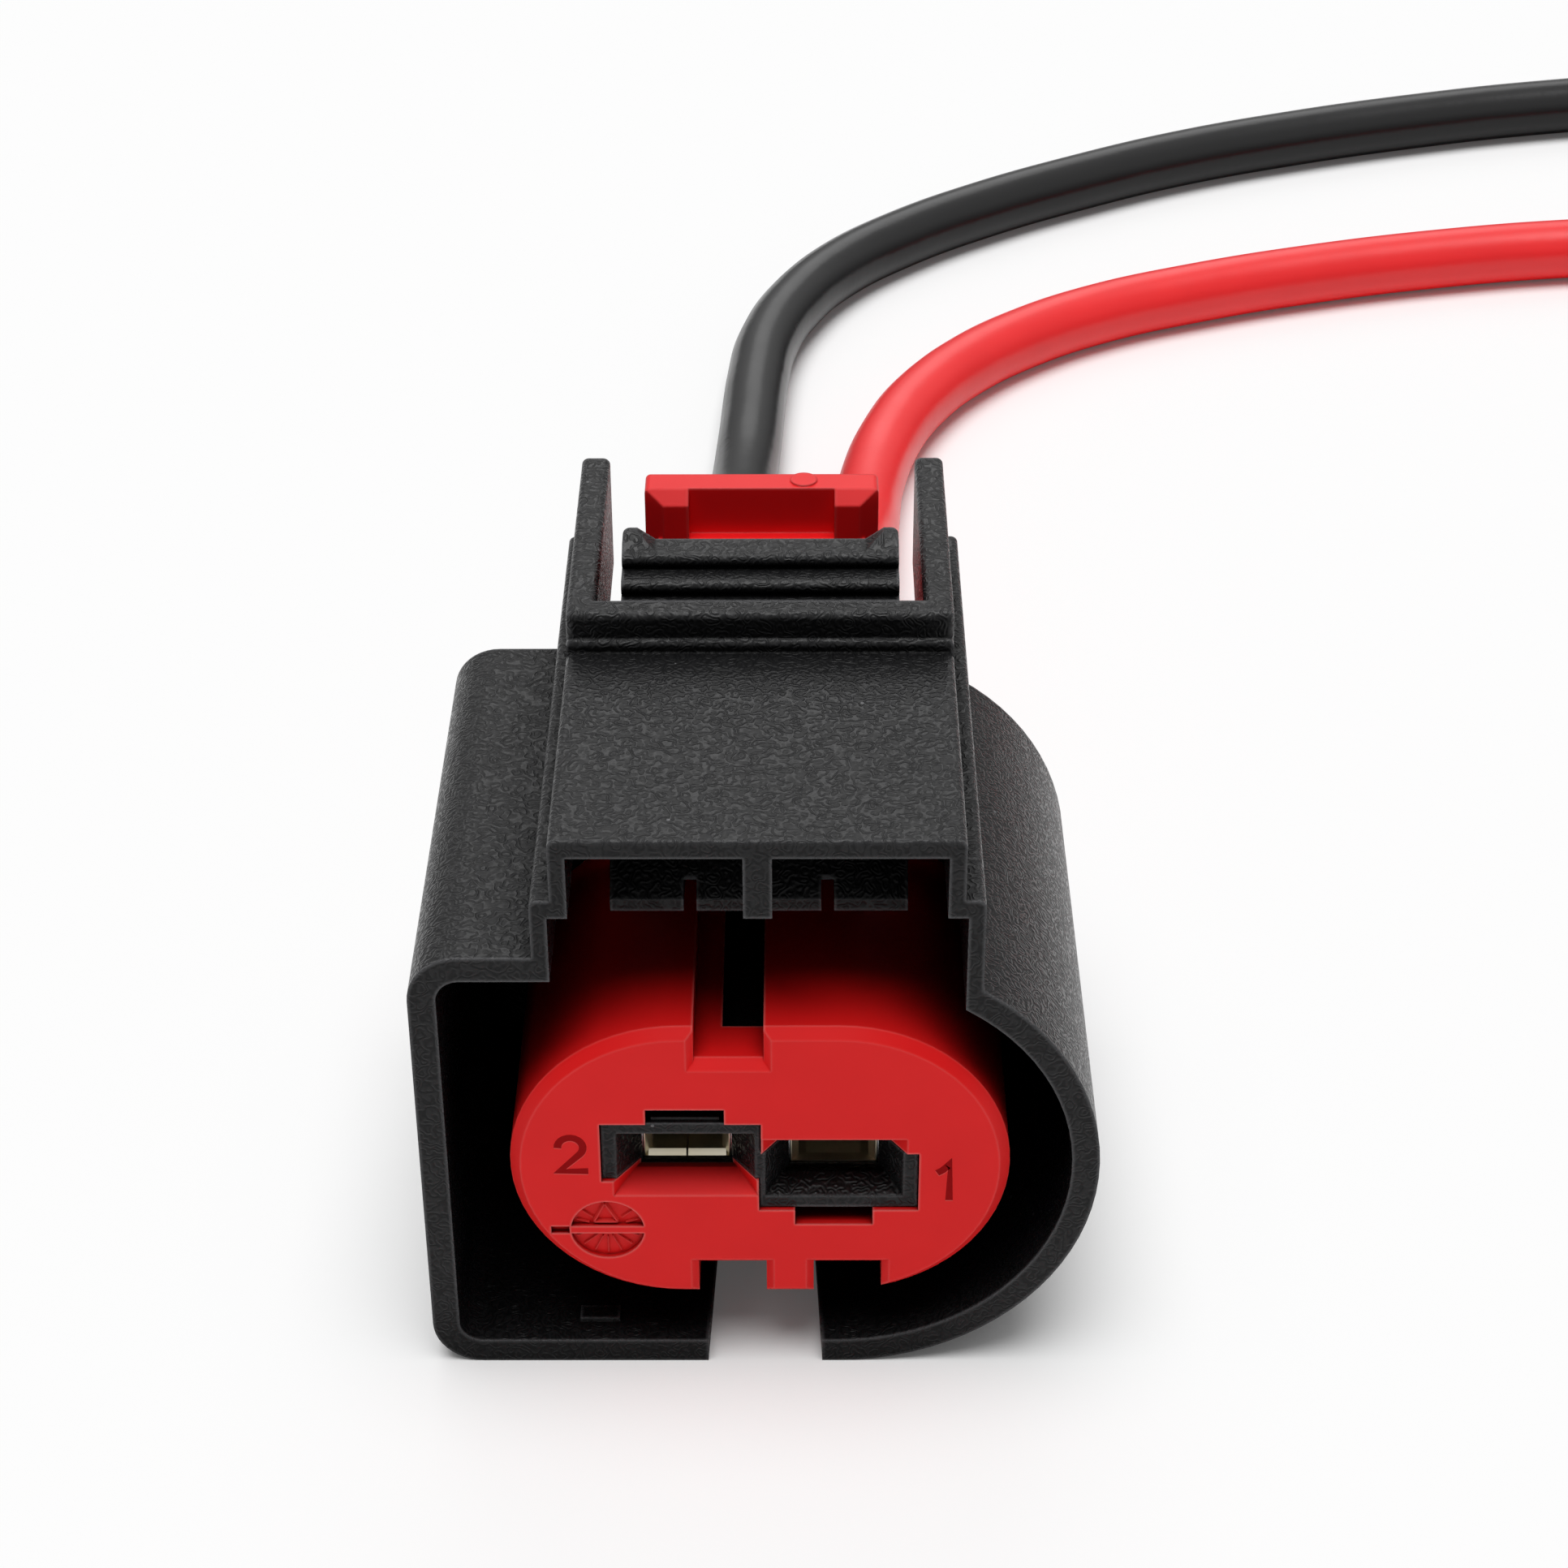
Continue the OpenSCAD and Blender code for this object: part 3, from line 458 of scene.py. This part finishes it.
class Assembly:
    """A sub-assembly with CAD nodes of its own."""

    def slots(self) -> dict[str, Slot]:
        """Returns the material slot of each CAD node."""
        raise NotImplementedError

    def dress(self, paint: Paint) -> None:
        """Puts the materials on the CAD nodes.

        Args:
            paint: Materials by slot.
        """
        for name, slot in self.slots().items():
            material = paint.by_slot[slot]
            paint.put(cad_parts[name], material)
            LOG.info("node %s, %s", name, material.name)

    def build(self, paint: Paint) -> None:
        """Dresses the CAD nodes and builds what is added to them.

        Args:
            paint: Materials by slot.
        """
        self.dress(paint)


@dataclass(frozen=True)
class Housing(Assembly):
    """The black moulding with its latch lever, and the seal round its core.

    Attributes:
        moulding: CAD node of the moulding.
        seal: CAD node of the seal.
    """

    moulding: str = "housing"
    seal: str = "mating_seal"

    def slots(self) -> dict[str, Slot]:
        """Returns the material slot of each CAD node."""
        return {self.moulding: Slot.HOUSING, self.seal: Slot.MATING_SEAL}


@dataclass(frozen=True)
class PositionLock(Assembly):
    """The red slide behind the latch pad.

    Attributes:
        slide: Its CAD node.
    """

    slide: str = "position_lock"

    def slots(self) -> dict[str, Slot]:
        """Returns the material slot of its CAD node."""
        return {self.slide: Slot.LOCK}


@dataclass(frozen=True)
class Terminal(Assembly):
    """One crimped contact in its cavity, with its sleeve, wire seal and strands.

    Attributes:
        cavity: Number of the cavity.
    """

    cavity: int

    def slots(self) -> dict[str, Slot]:
        """Returns the material slot of each CAD node."""
        return {
            f"contact_{self.cavity}": Slot.CONTACT,
            f"contact_sleeve_{self.cavity}": Slot.STEEL,
            f"wire_seal_{self.cavity}": Slot.WIRE_SEAL,
            f"conductor_{self.cavity}": Slot.COPPER,
        }


@dataclass(frozen=True)
class Lead(Assembly):
    """One insulated lead with a bare far end.

    Attributes:
        node: CAD node it stands for.
        end_node: CAD node of its stripped far end.
        slot: Material slot of its insulation.
        route_mm: Points along its centre line in the part's frame.
        exit_point: Number of the route point at which it leaves the connector. Not used.
        over_mm: Diameter over the insulation.
        core_mm: Diameter of the bare strands together.
        strip_mm: Length of the bare end.
        slack_mm: How much closer its skin lies to the centre line, which dips a little between its points.
        twist: Turn of the strands over the bare end in degrees.
        strand_rings: Number of strands in each ring, from the middle outwards.
        strand_fill: Thickness of a strand as a share of the room it has.
        strand_steps: Straight stretches along a strand.
    """

    node: str
    end_node: str
    slot: Slot
    route_mm: tuple[tuple[float, float, float], ...]
    exit_point: int = 2
    over_mm: float = 2.5
    core_mm: float = 1.3
    strip_mm: float = 6.0
    slack_mm: float = 0.01
    twist: float = 200.0
    strand_rings: tuple[int, ...] = (1, 6, 12)
    strand_fill: float = 0.98
    strand_steps: int = 16

    def slots(self) -> dict[str, Slot]:
        """Returns the material slot of each CAD node."""
        return {self.node: self.slot, self.end_node: Slot.COPPER}

    def insulation(self, paint: Paint) -> bpy.types.Object:
        """Builds the insulated part.

        Args:
            paint: Materials by slot.

        Returns:
            The curve object.
        """
        curve = bpy.data.curves.new(self.node + "_line", "CURVE")
        curve.dimensions = "3D"
        curve.bevel_depth = 1.0
        curve.bevel_resolution = 8
        curve.resolution_u = 8
        curve.use_fill_caps = True
        spline = curve.splines.new("BEZIER")
        spline.bezier_points.add(len(self.route_mm) - 1)
        for point, place in zip(spline.bezier_points, self.route_mm):
            point.co = Vector(place) * MM
            point.radius = (self.over_mm / 2 - self.slack_mm) * MM
            point.handle_left_type = point.handle_right_type = "AUTO"
        piece = add_piece(self.node + "_curve", curve, paint.by_slot[self.slot])
        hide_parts(self.node)
        return piece

    def strands(self, paint: Paint) -> bpy.types.Object:
        """Builds the bare strands, ring by ring.

        Args:
            paint: Materials by slot.

        Returns:
            The curve object.
        """
        start = Vector(self.route_mm[-1])
        way = (start - Vector(self.route_mm[-2])).normalized()
        side = way.cross(Vector((0, 0, 1))).normalized()
        up = side.cross(way)
        across = 2 * len(self.strand_rings) - 1
        thin = self.core_mm / across / 2
        curve = bpy.data.curves.new(self.end_node + "_line", "CURVE")
        curve.dimensions = "3D"
        curve.bevel_depth = 1.0
        curve.bevel_resolution = 1
        curve.use_fill_caps = True
        for ring, count in enumerate(self.strand_rings):
            for number in range(count):
                spline = curve.splines.new("POLY")
                spline.points.add(self.strand_steps)
                for step, point in enumerate(spline.points):
                    share = step / self.strand_steps
                    turn = math.tau * number / count + math.radians(self.twist) * share
                    off = 2 * ring * thin * (math.cos(turn) * side + math.sin(turn) * up)
                    point.co = (*(start + way * (self.strip_mm * share) + off) * MM, 1.0)
                    point.radius = thin * self.strand_fill * MM
        piece = add_piece(self.end_node + "_strands", curve, paint.by_slot[Slot.COPPER])
        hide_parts(self.end_node)
        return piece

    def build(self, paint: Paint) -> None:
        """Args:
            paint: Materials by slot.
        """
        self.dress(paint)
        piece = self.insulation(paint)
        end = self.strands(paint)


def bow(
    x: float, z: float, radius: float, first: float, last: float, steps: int,
) -> list[tuple[float, float]]:
    """Lays points along an arc.

    Args:
        x: Its middle, across.
        z: Its middle, upwards.
        radius: Its radius.
        first: Angle of its first point in degrees.
        last: Angle of its last point in degrees.
        steps: Number of stretches.

    Returns:
        The points.
    """
    turns = [math.radians(first + (last - first) * step / steps) for step in range(steps + 1)]
    return [(x + radius * math.cos(turn), z + radius * math.sin(turn)) for turn in turns]


@dataclass(frozen=True)
class Digit:
    """A cavity number of the insert face, drawn as a thin plate with the shade of a sunk mark painted in.

    Attributes:
        text: The digit.
        left_mm: Its left edge, counted from the middle.
        low_mm: Its lower edge, counted from the middle height.
        line_mm: Points along its stroke, counted from its lower left corner.
        stroke_mm: Width of its stroke.
        proud_mm: How far it stands in front of the face.
        root_mm: How far it reaches into the face.
        rim_mm: How far its lit lower edge shows.
        rim_proud_mm: How far that edge stands in front of the face.
        sharpest: Least cosine of half a bend for which the stroke keeps its width.
    """

    text: str
    left_mm: float
    low_mm: float
    line_mm: tuple[tuple[float, float], ...]
    stroke_mm: float = 0.19
    proud_mm: float = 0.006
    root_mm: float = 0.02
    rim_mm: float = 0.035
    rim_proud_mm: float = 0.003
    sharpest: float = 0.55

    def plate(self, name: str, drop_mm: float, proud_mm: float) -> bpy.types.Mesh:
        """Builds the digit as a thin plate let into the face.

        Args:
            name: Name of the mesh.
            drop_mm: How far it is moved down.
            proud_mm: How far it stands in front of the face.

        Returns:
            The mesh.
        """
        net = bmesh.new()
        low = MID_Z_MM + self.low_mm - drop_mm
        line = [Vector((self.left_mm + x, FRONT_Y_MM, low + z)) for x, z in self.line_mm]
        rows: list[list[bmesh.types.BMVert]] = []
        for index, point in enumerate(line):
            before = (point - line[max(index - 1, 0)]).normalized()
            after = (line[min(index + 1, len(line) - 1)] - point).normalized()
            way = (before + after).normalized()
            bend = max(self.sharpest, way.dot(after), way.dot(before))
            side = Vector((-way.z, 0, way.x)) * (self.stroke_mm / 2 / bend)
            rows.append([
                net.verts.new((point + side * sign + Vector((0, deep, 0))) * MM)
                for sign, deep in ((-1, -proud_mm), (1, -proud_mm), (1, self.root_mm), (-1, self.root_mm))
            ])
        for first, second in zip(rows, rows[1:]):
            for i in range(4):
                net.faces.new((first[i], first[(i + 1) % 4], second[(i + 1) % 4], second[i]))
        net.faces.new(rows[0])
        net.faces.new(rows[-1][::-1])
        bmesh.ops.recalc_face_normals(net, faces=net.faces)
        mesh = bpy.data.meshes.new(name)
        net.to_mesh(mesh)
        net.free()
        return mesh

    def build(self, deep: bpy.types.Material, rim: bpy.types.Material) -> None:
        """Builds the digit and its lit lower edge.

        Args:
            deep: Material of the sunk stroke, with its shade painted in.
            rim: Material of its lower edge, with the light on it painted in.
        """
        name = f"cavity_number_{self.text}"
        lower = self.plate(name + "_rim", self.rim_mm, self.rim_proud_mm)
        add_piece(name + "_rim", lower, rim)
        add_piece(name, self.plate(name, 0.0, self.proud_mm), deep)


@dataclass(frozen=True)
class Dial:
    """Raised ribs and pointer in the sunk dial of the insert face.

    Attributes:
        x_mm: Its middle, counted from the middle of the face.
        z_mm: Its middle, counted from the middle height.
        radius_mm: Its radius.
        sunk_mm: Depth of its floor.
        root_mm: How far a rib reaches into the floor.
        crest: Width of a rib's crest as a share of its foot.
        rib_mm: Width of a ray at its foot.
        rib_high_mm: Height of a ray.
        reach: Outer end of the rays as a share of the radius.
        low_turns: Directions of the rays below the middle line in degrees.
        high_turns: Directions of the short rays above it.
        low_start_mm: Where the rays below start, counted from the middle.
        high_start_mm: Where the rays above start.
        line_gap_mm: Room between the middle line and the rays below it.
        pointer_mm: Tip, left and right corner of the pointer, counted from the middle.
        pointer_rib_mm: Width of its sides at their foot.
        pointer_high_mm: Height of its sides.
    """

    x_mm: float = -3.92
    z_mm: float = -2.06
    radius_mm: float = 0.94
    sunk_mm: float = 0.15
    root_mm: float = 0.01
    crest: float = 0.4
    rib_mm: float = 0.05
    rib_high_mm: float = 0.06
    reach: float = 0.88
    low_turns: tuple[int, ...] = tuple(range(-162, -17, 24))
    high_turns: tuple[int, ...] = (20, 42, 138, 160)
    low_start_mm: float = 0.3
    high_start_mm: float = 0.5
    line_gap_mm: float = 0.16
    pointer_mm: tuple[tuple[float, float], ...] = ((-0.06, 0.82), (-0.34, 0.22), (0.26, 0.22))
    pointer_rib_mm: float = 0.09
    pointer_high_mm: float = 0.1

    def rib(
        self, net: bmesh.types.BMesh, start: Vector, end: Vector, wide_mm: float, high_mm: float,
    ) -> None:
        """Adds one rib with a narrow crest.

        Args:
            net: Mesh to add it to.
            start: Start of the rib, counted from the middle of the dial.
            end: End of the rib.
            wide_mm: Width at its foot.
            high_mm: Height above the floor of the dial.
        """
        middle = Vector((self.x_mm, FRONT_Y_MM + self.sunk_mm, MID_Z_MM + self.z_mm))
        way = (end - start).normalized()
        side = Vector((-way.z, 0, way.x)) * wide_mm / 2
        rows = []
        for share, depth in ((1.0, self.root_mm), (self.crest, -high_mm)):
            corners = (start - side * share, end - side * share, end + side * share, start + side * share)
            rows.append([net.verts.new((middle + c + Vector((0, depth, 0))) * MM) for c in corners])
        low, top = rows
        net.faces.new(top)
        net.faces.new(low[::-1])
        for i in range(4):
            net.faces.new((low[i], low[(i + 1) % 4], top[(i + 1) % 4], top[i]))

    def build(self, material: bpy.types.Material) -> None:
        """Builds all ribs and the pointer.

        Args:
            material: Their material.
        """
        net = bmesh.new()
        for turn in (*self.low_turns, *self.high_turns):
            way = Vector((math.cos(math.radians(turn)), 0, math.sin(math.radians(turn))))
            near = self.high_start_mm
            if turn in self.low_turns:
                near = max(self.low_start_mm, self.line_gap_mm / abs(way.z))
            self.rib(net, way * near, way * (self.radius_mm * self.reach), self.rib_mm, self.rib_high_mm)
        tip, left, right = (Vector((x, 0, z)) for x, z in self.pointer_mm)
        for start, end in ((left, tip), (right, tip), (left, right)):
            self.rib(net, start, end, self.pointer_rib_mm, self.pointer_high_mm)
        bmesh.ops.recalc_face_normals(net, faces=net.faces)
        mesh = bpy.data.meshes.new("dial_ribs")
        net.to_mesh(mesh)
        net.free()
        add_piece("dial_ribs", mesh, material)


@dataclass(frozen=True)
class Insert(Assembly):
    """The red cap over the core, with the marks of its face.

    Attributes:
        digits: Its cavity numbers.
        dial: Its dial.
        cap: Its CAD node.
    """

    digits: tuple[Digit, ...]
    dial: Dial
    cap: str = "insert"

    def slots(self) -> dict[str, Slot]:
        """Returns the material slot of its CAD node."""
        return {self.cap: Slot.INSERT}

    def build(self, paint: Paint) -> None:
        """Dresses the cap and builds its marks.

        Args:
            paint: Materials by slot.
        """
        self.dress(paint)
        # The shade of the sunk marks and the light on their lower edges are painted into these materials.
        deep, rim = paint.make(MARK_SHADE), paint.make(MARK_LIT_EDGE)
        for digit in self.digits:
            digit.build(deep, rim)
        self.dial.build(paint.make(MARK_RIB))


@dataclass(frozen=True)
class Shot:
    """The photograph's camera in the part's frame.

    Attributes:
        place_mm: Position.
        turns: Turns about x, y and z in degrees, from looking straight down.
        lens_mm: Focal length.
        sensor_mm: Width of the sensor.
        near_m: Nearest distance that is drawn.
        far_m: Farthest distance that is drawn.
    """

    place_mm: tuple[float, float, float]
    turns: tuple[float, float, float]
    lens_mm: float
    sensor_mm: float = 36.0
    near_m: float = 0.001
    far_m: float = 20.0


@dataclass(frozen=True)
class Softbox:
    """A distant round softbox, which lights the whole floor evenly.

    Attributes:
        name: Its name.
        strength: Its light on a surface that faces it.
        height: Height of its middle above the horizon in degrees.
        side: Direction it stands in, in degrees: 0 is in front, 90 on the right, 180 behind.
        spread: Angle it covers in the sky in degrees.
    """

    name: str
    strength: float
    height: float
    side: float
    spread: float

    def build(self) -> None:
        """Adds the lamp."""
        data = bpy.data.lights.new(self.name, "SUN")
        data.angle = math.radians(self.spread)
        data.energy = self.strength
        piece = bpy.data.objects.new(self.name, data)
        piece.rotation_euler = (math.radians(90 - self.height), 0, math.radians(self.side))
        bpy.context.scene.collection.objects.link(piece)


@dataclass(frozen=True)
class Studio:
    """Floor, background, light and camera.

    Attributes:
        shot: The camera.
        lamps: The softboxes.
        floor_m: Width of the floor.
        floor_colour: Its colour as sRGB hex.
        floor_white: Share of plain white that the camera sees in the open floor.
        shade_mm: How near the connector has to be to take from that share, which paints a contact shadow.
        shade_from: Share of open sky at which the least of it is left.
        floor_dim: Share that is left there.
        tent_low: Strength that reflections see near the horizon.
        tent_high: Strength that reflections see overhead.
        tent_rise: Sine of the height above the horizon at which the tent is brightest.
        fill: Strength of the light from all sides.
    """

    shot: Shot
    lamps: tuple[Softbox, ...]
    floor_m: float = 3.0
    floor_colour: str = "#fbfbfb"
    floor_white: float = 0.65
    shade_mm: float = 8.0
    shade_from: float = 0.4
    floor_dim: float = 0.06
    tent_low: float = 0.12
    tent_high: float = 1.0
    tent_rise: float = 0.5
    fill: float = 0.08

    def floor(self) -> None:
        """Adds the pale floor, with a contact shadow painted round the connector."""
        half = self.floor_m / 2
        mesh = bpy.data.meshes.new("floor")
        corners = [(-half, -half, 0), (half, -half, 0), (half, half, 0), (-half, half, 0)]
        mesh.from_pydata(corners, [], [(0, 1, 2, 3)])
        piece = bpy.data.objects.new("floor", mesh)
        bpy.context.scene.collection.objects.link(piece)
        material = bpy.data.materials.new("studio_paper")
        material.use_nodes = True
        tree = material.node_tree
        tree.nodes.clear()
        path = add_node(tree, "ShaderNodeLightPath").outputs
        # Ambient occlusion takes the plain white away near the connector: a painted contact shadow over the
        # matt floor's own.
        sky = add_node(
            tree, "ShaderNodeAmbientOcclusion", samples=Paint.RAYS, in_Distance=self.shade_mm * MM,
        ).outputs["AO"]
        bare = add_node(
            tree, "ShaderNodeMapRange", in_Value=sky, in_From_Min=self.shade_from, in_To_Min=self.floor_dim,
            in_To_Max=self.floor_white,
        )
        seen = path["Is Camera Ray"]
        share = add_node(tree, "ShaderNodeMath", operation="MULTIPLY", in_0=seen, in_1=bare)
        matt = add_node(tree, "ShaderNodeBsdfDiffuse", in_Color=srgb(self.floor_colour))
        white = add_node(tree, "ShaderNodeEmission", in_Color=(1, 1, 1, 1), in_Strength=1.0)
        both = add_node(tree, "ShaderNodeMixShader", in_0=share, in_1=matt, in_2=white)
        add_node(tree, "ShaderNodeOutputMaterial", in_Surface=both)
        Paint.put(piece, material)

    def world(self) -> None:
        """Sets a white background, a tent for reflections, brightest overhead, and a weak even light."""
        world = bpy.data.worlds.new("studio")
        bpy.context.scene.world = world
        world.use_nodes = True
        tree = world.node_tree
        tree.nodes.clear()
        path = add_node(tree, "ShaderNodeLightPath").outputs
        place = add_node(tree, "ShaderNodeTexCoord").outputs["Generated"]
        toward = add_node(tree, "ShaderNodeSeparateXYZ", in_Vector=place).outputs["Z"]
        tent = add_node(
            tree, "ShaderNodeMapRange", in_Value=toward, in_From_Min=0.0, in_From_Max=self.tent_rise,
            in_To_Min=self.tent_low, in_To_Max=self.tent_high,
        )
        mirror = add_node(
            tree, "ShaderNodeMath", operation="MAXIMUM", in_0=path["Is Glossy Ray"],
            in_1=path["Is Transmission Ray"],
        )
        shown = add_node(tree, "ShaderNodeMath", operation="MULTIPLY", in_0=mirror, in_1=tent)
        lit = add_node(tree, "ShaderNodeMath", operation="MAXIMUM", in_0=shown, in_1=self.fill)
        level = add_node(tree, "ShaderNodeMath", operation="MAXIMUM", in_0=lit, in_1=path["Is Camera Ray"])
        back = add_node(tree, "ShaderNodeBackground", in_Color=(1, 1, 1, 1), in_Strength=level)
        add_node(tree, "ShaderNodeOutputWorld", in_Surface=back)

    def camera(self) -> None:
        """Sets the photograph's camera."""
        data = bpy.data.cameras.new("photo")
        data.sensor_fit = "HORIZONTAL"
        data.sensor_width = self.shot.sensor_mm
        data.lens = self.shot.lens_mm
        data.clip_start = self.shot.near_m
        data.clip_end = self.shot.far_m
        piece = bpy.data.objects.new("photo", data)
        piece.location = Vector(self.shot.place_mm) * MM
        piece.rotation_euler = [math.radians(turn) for turn in self.shot.turns]
        bpy.context.scene.collection.objects.link(piece)
        bpy.context.scene.camera = piece

    def build(self) -> None:
        """Builds the whole studio."""
        self.floor()
        for lamp in self.lamps:
            lamp.build()
        self.world()
        self.camera()
        bpy.context.scene.view_settings.view_transform = "Standard"


SHOT = Shot(place_mm=(0.95, -76.352, 61.932), turns=(56.265, 0.175, 0.15), lens_mm=77.175)

LAMPS: tuple[Softbox, ...] = (
    Softbox("overhead", strength=2.55, height=84, side=-12, spread=44),
    Softbox("behind", strength=0.45, height=42, side=180, spread=40),
)

DIGITS: tuple[Digit, ...] = (
    Digit("1", 4.49, -1.06, ((0.0, 0.9), (0.13, 0.98), (0.26, 1.12), (0.32, 1.22), (0.32, 0.0))),
    Digit("2", -5.19, -0.19, (
        *bow(x=0.41, z=0.865, radius=0.32, first=182, last=-44, steps=14), (0.12, 0.095), (0.84, 0.095),
    )),
)

# The points are those of the CAD routes.
LEADS: tuple[Lead, ...] = (
    Lead("black_lead", "black_lead_end", Slot.BLACK_LEAD, (
        (-1.88, 0, 6.6), (-1.88, 5, 6.6), (-1.88, 11, 6.6), (-1.9, 15, 6.4), (-1.8, 20, 5.3),
        (-1.5, 25, 3.6), (-1.2, 30, 2.1), (-1, 35, 1.35), (-0.8, 39, 1.25), (-0.6, 43, 1.25),
        (-0.2, 46.6, 1.25), (0.8, 50, 1.25), (2.6, 53.4, 1.25), (5.4, 56.6, 1.25), (9, 59.6, 1.25),
        (13.2, 62.4, 1.25), (18, 65.1, 1.25), (23.4, 67.4, 1.25), (29, 69.3, 1.25), (35, 70.9, 1.25),
        (41, 71.9, 1.25), (47, 72.2, 1.25), (53, 71.4, 1.25), (58.6, 69.2, 1.25), (63.4, 65.8, 1.25),
        (67.4, 61.4, 1.25), (70.4, 56.2, 1.25), (72.4, 50.6, 1.25), (73.4, 44.8, 1.25),
        (73.6, 38.8, 1.25), (73, 33, 1.25), (72.6, 30, 1.25),
    )),
    Lead("red_lead", "red_lead_end", Slot.RED_LEAD, (
        (1.88, 0, 6.6), (1.88, 5, 6.6), (1.88, 11, 6.6), (2, 15, 6.4), (2.5, 20, 5.2), (3, 25, 3.4),
        (3.4, 30, 1.9), (3.8, 35, 1.3), (4.6, 38.6, 1.25), (5.8, 41.6, 1.25), (7.6, 44.4, 1.25),
        (10, 46.9, 1.25), (13.2, 49.2, 1.25), (17.4, 51.2, 1.25), (22.4, 53, 1.25), (28, 54.5, 1.25),
        (33.6, 55.5, 1.25), (39, 55.9, 1.25), (44.4, 55.5, 1.25), (49.4, 53.9, 1.25), (53.8, 51.1, 1.25),
        (57.4, 47.3, 1.25), (60, 42.7, 1.25), (61.6, 37.6, 1.25), (62.2, 32.2, 1.25), (61.8, 26.8, 1.25),
        (60.6, 21.4, 1.25), (58.4, 16.4, 1.25), (55.4, 11.8, 1.25), (51.8, 8, 1.25), (47.6, 4.8, 1.25),
        (43.2, 2.2, 1.25), (37.6, 0, 1.25),
    )),
)


def main() -> None:
    """Builds the scene."""
    logging.basicConfig(level=logging.INFO)
    paint = Paint(FINISHES)
    for part in (Housing(), PositionLock(), Terminal(1), Terminal(2), *LEADS, Insert(DIGITS, Dial())):
        part.build(paint)
    Studio(SHOT, LAMPS).build()


if __name__ == "__main__":
    main()
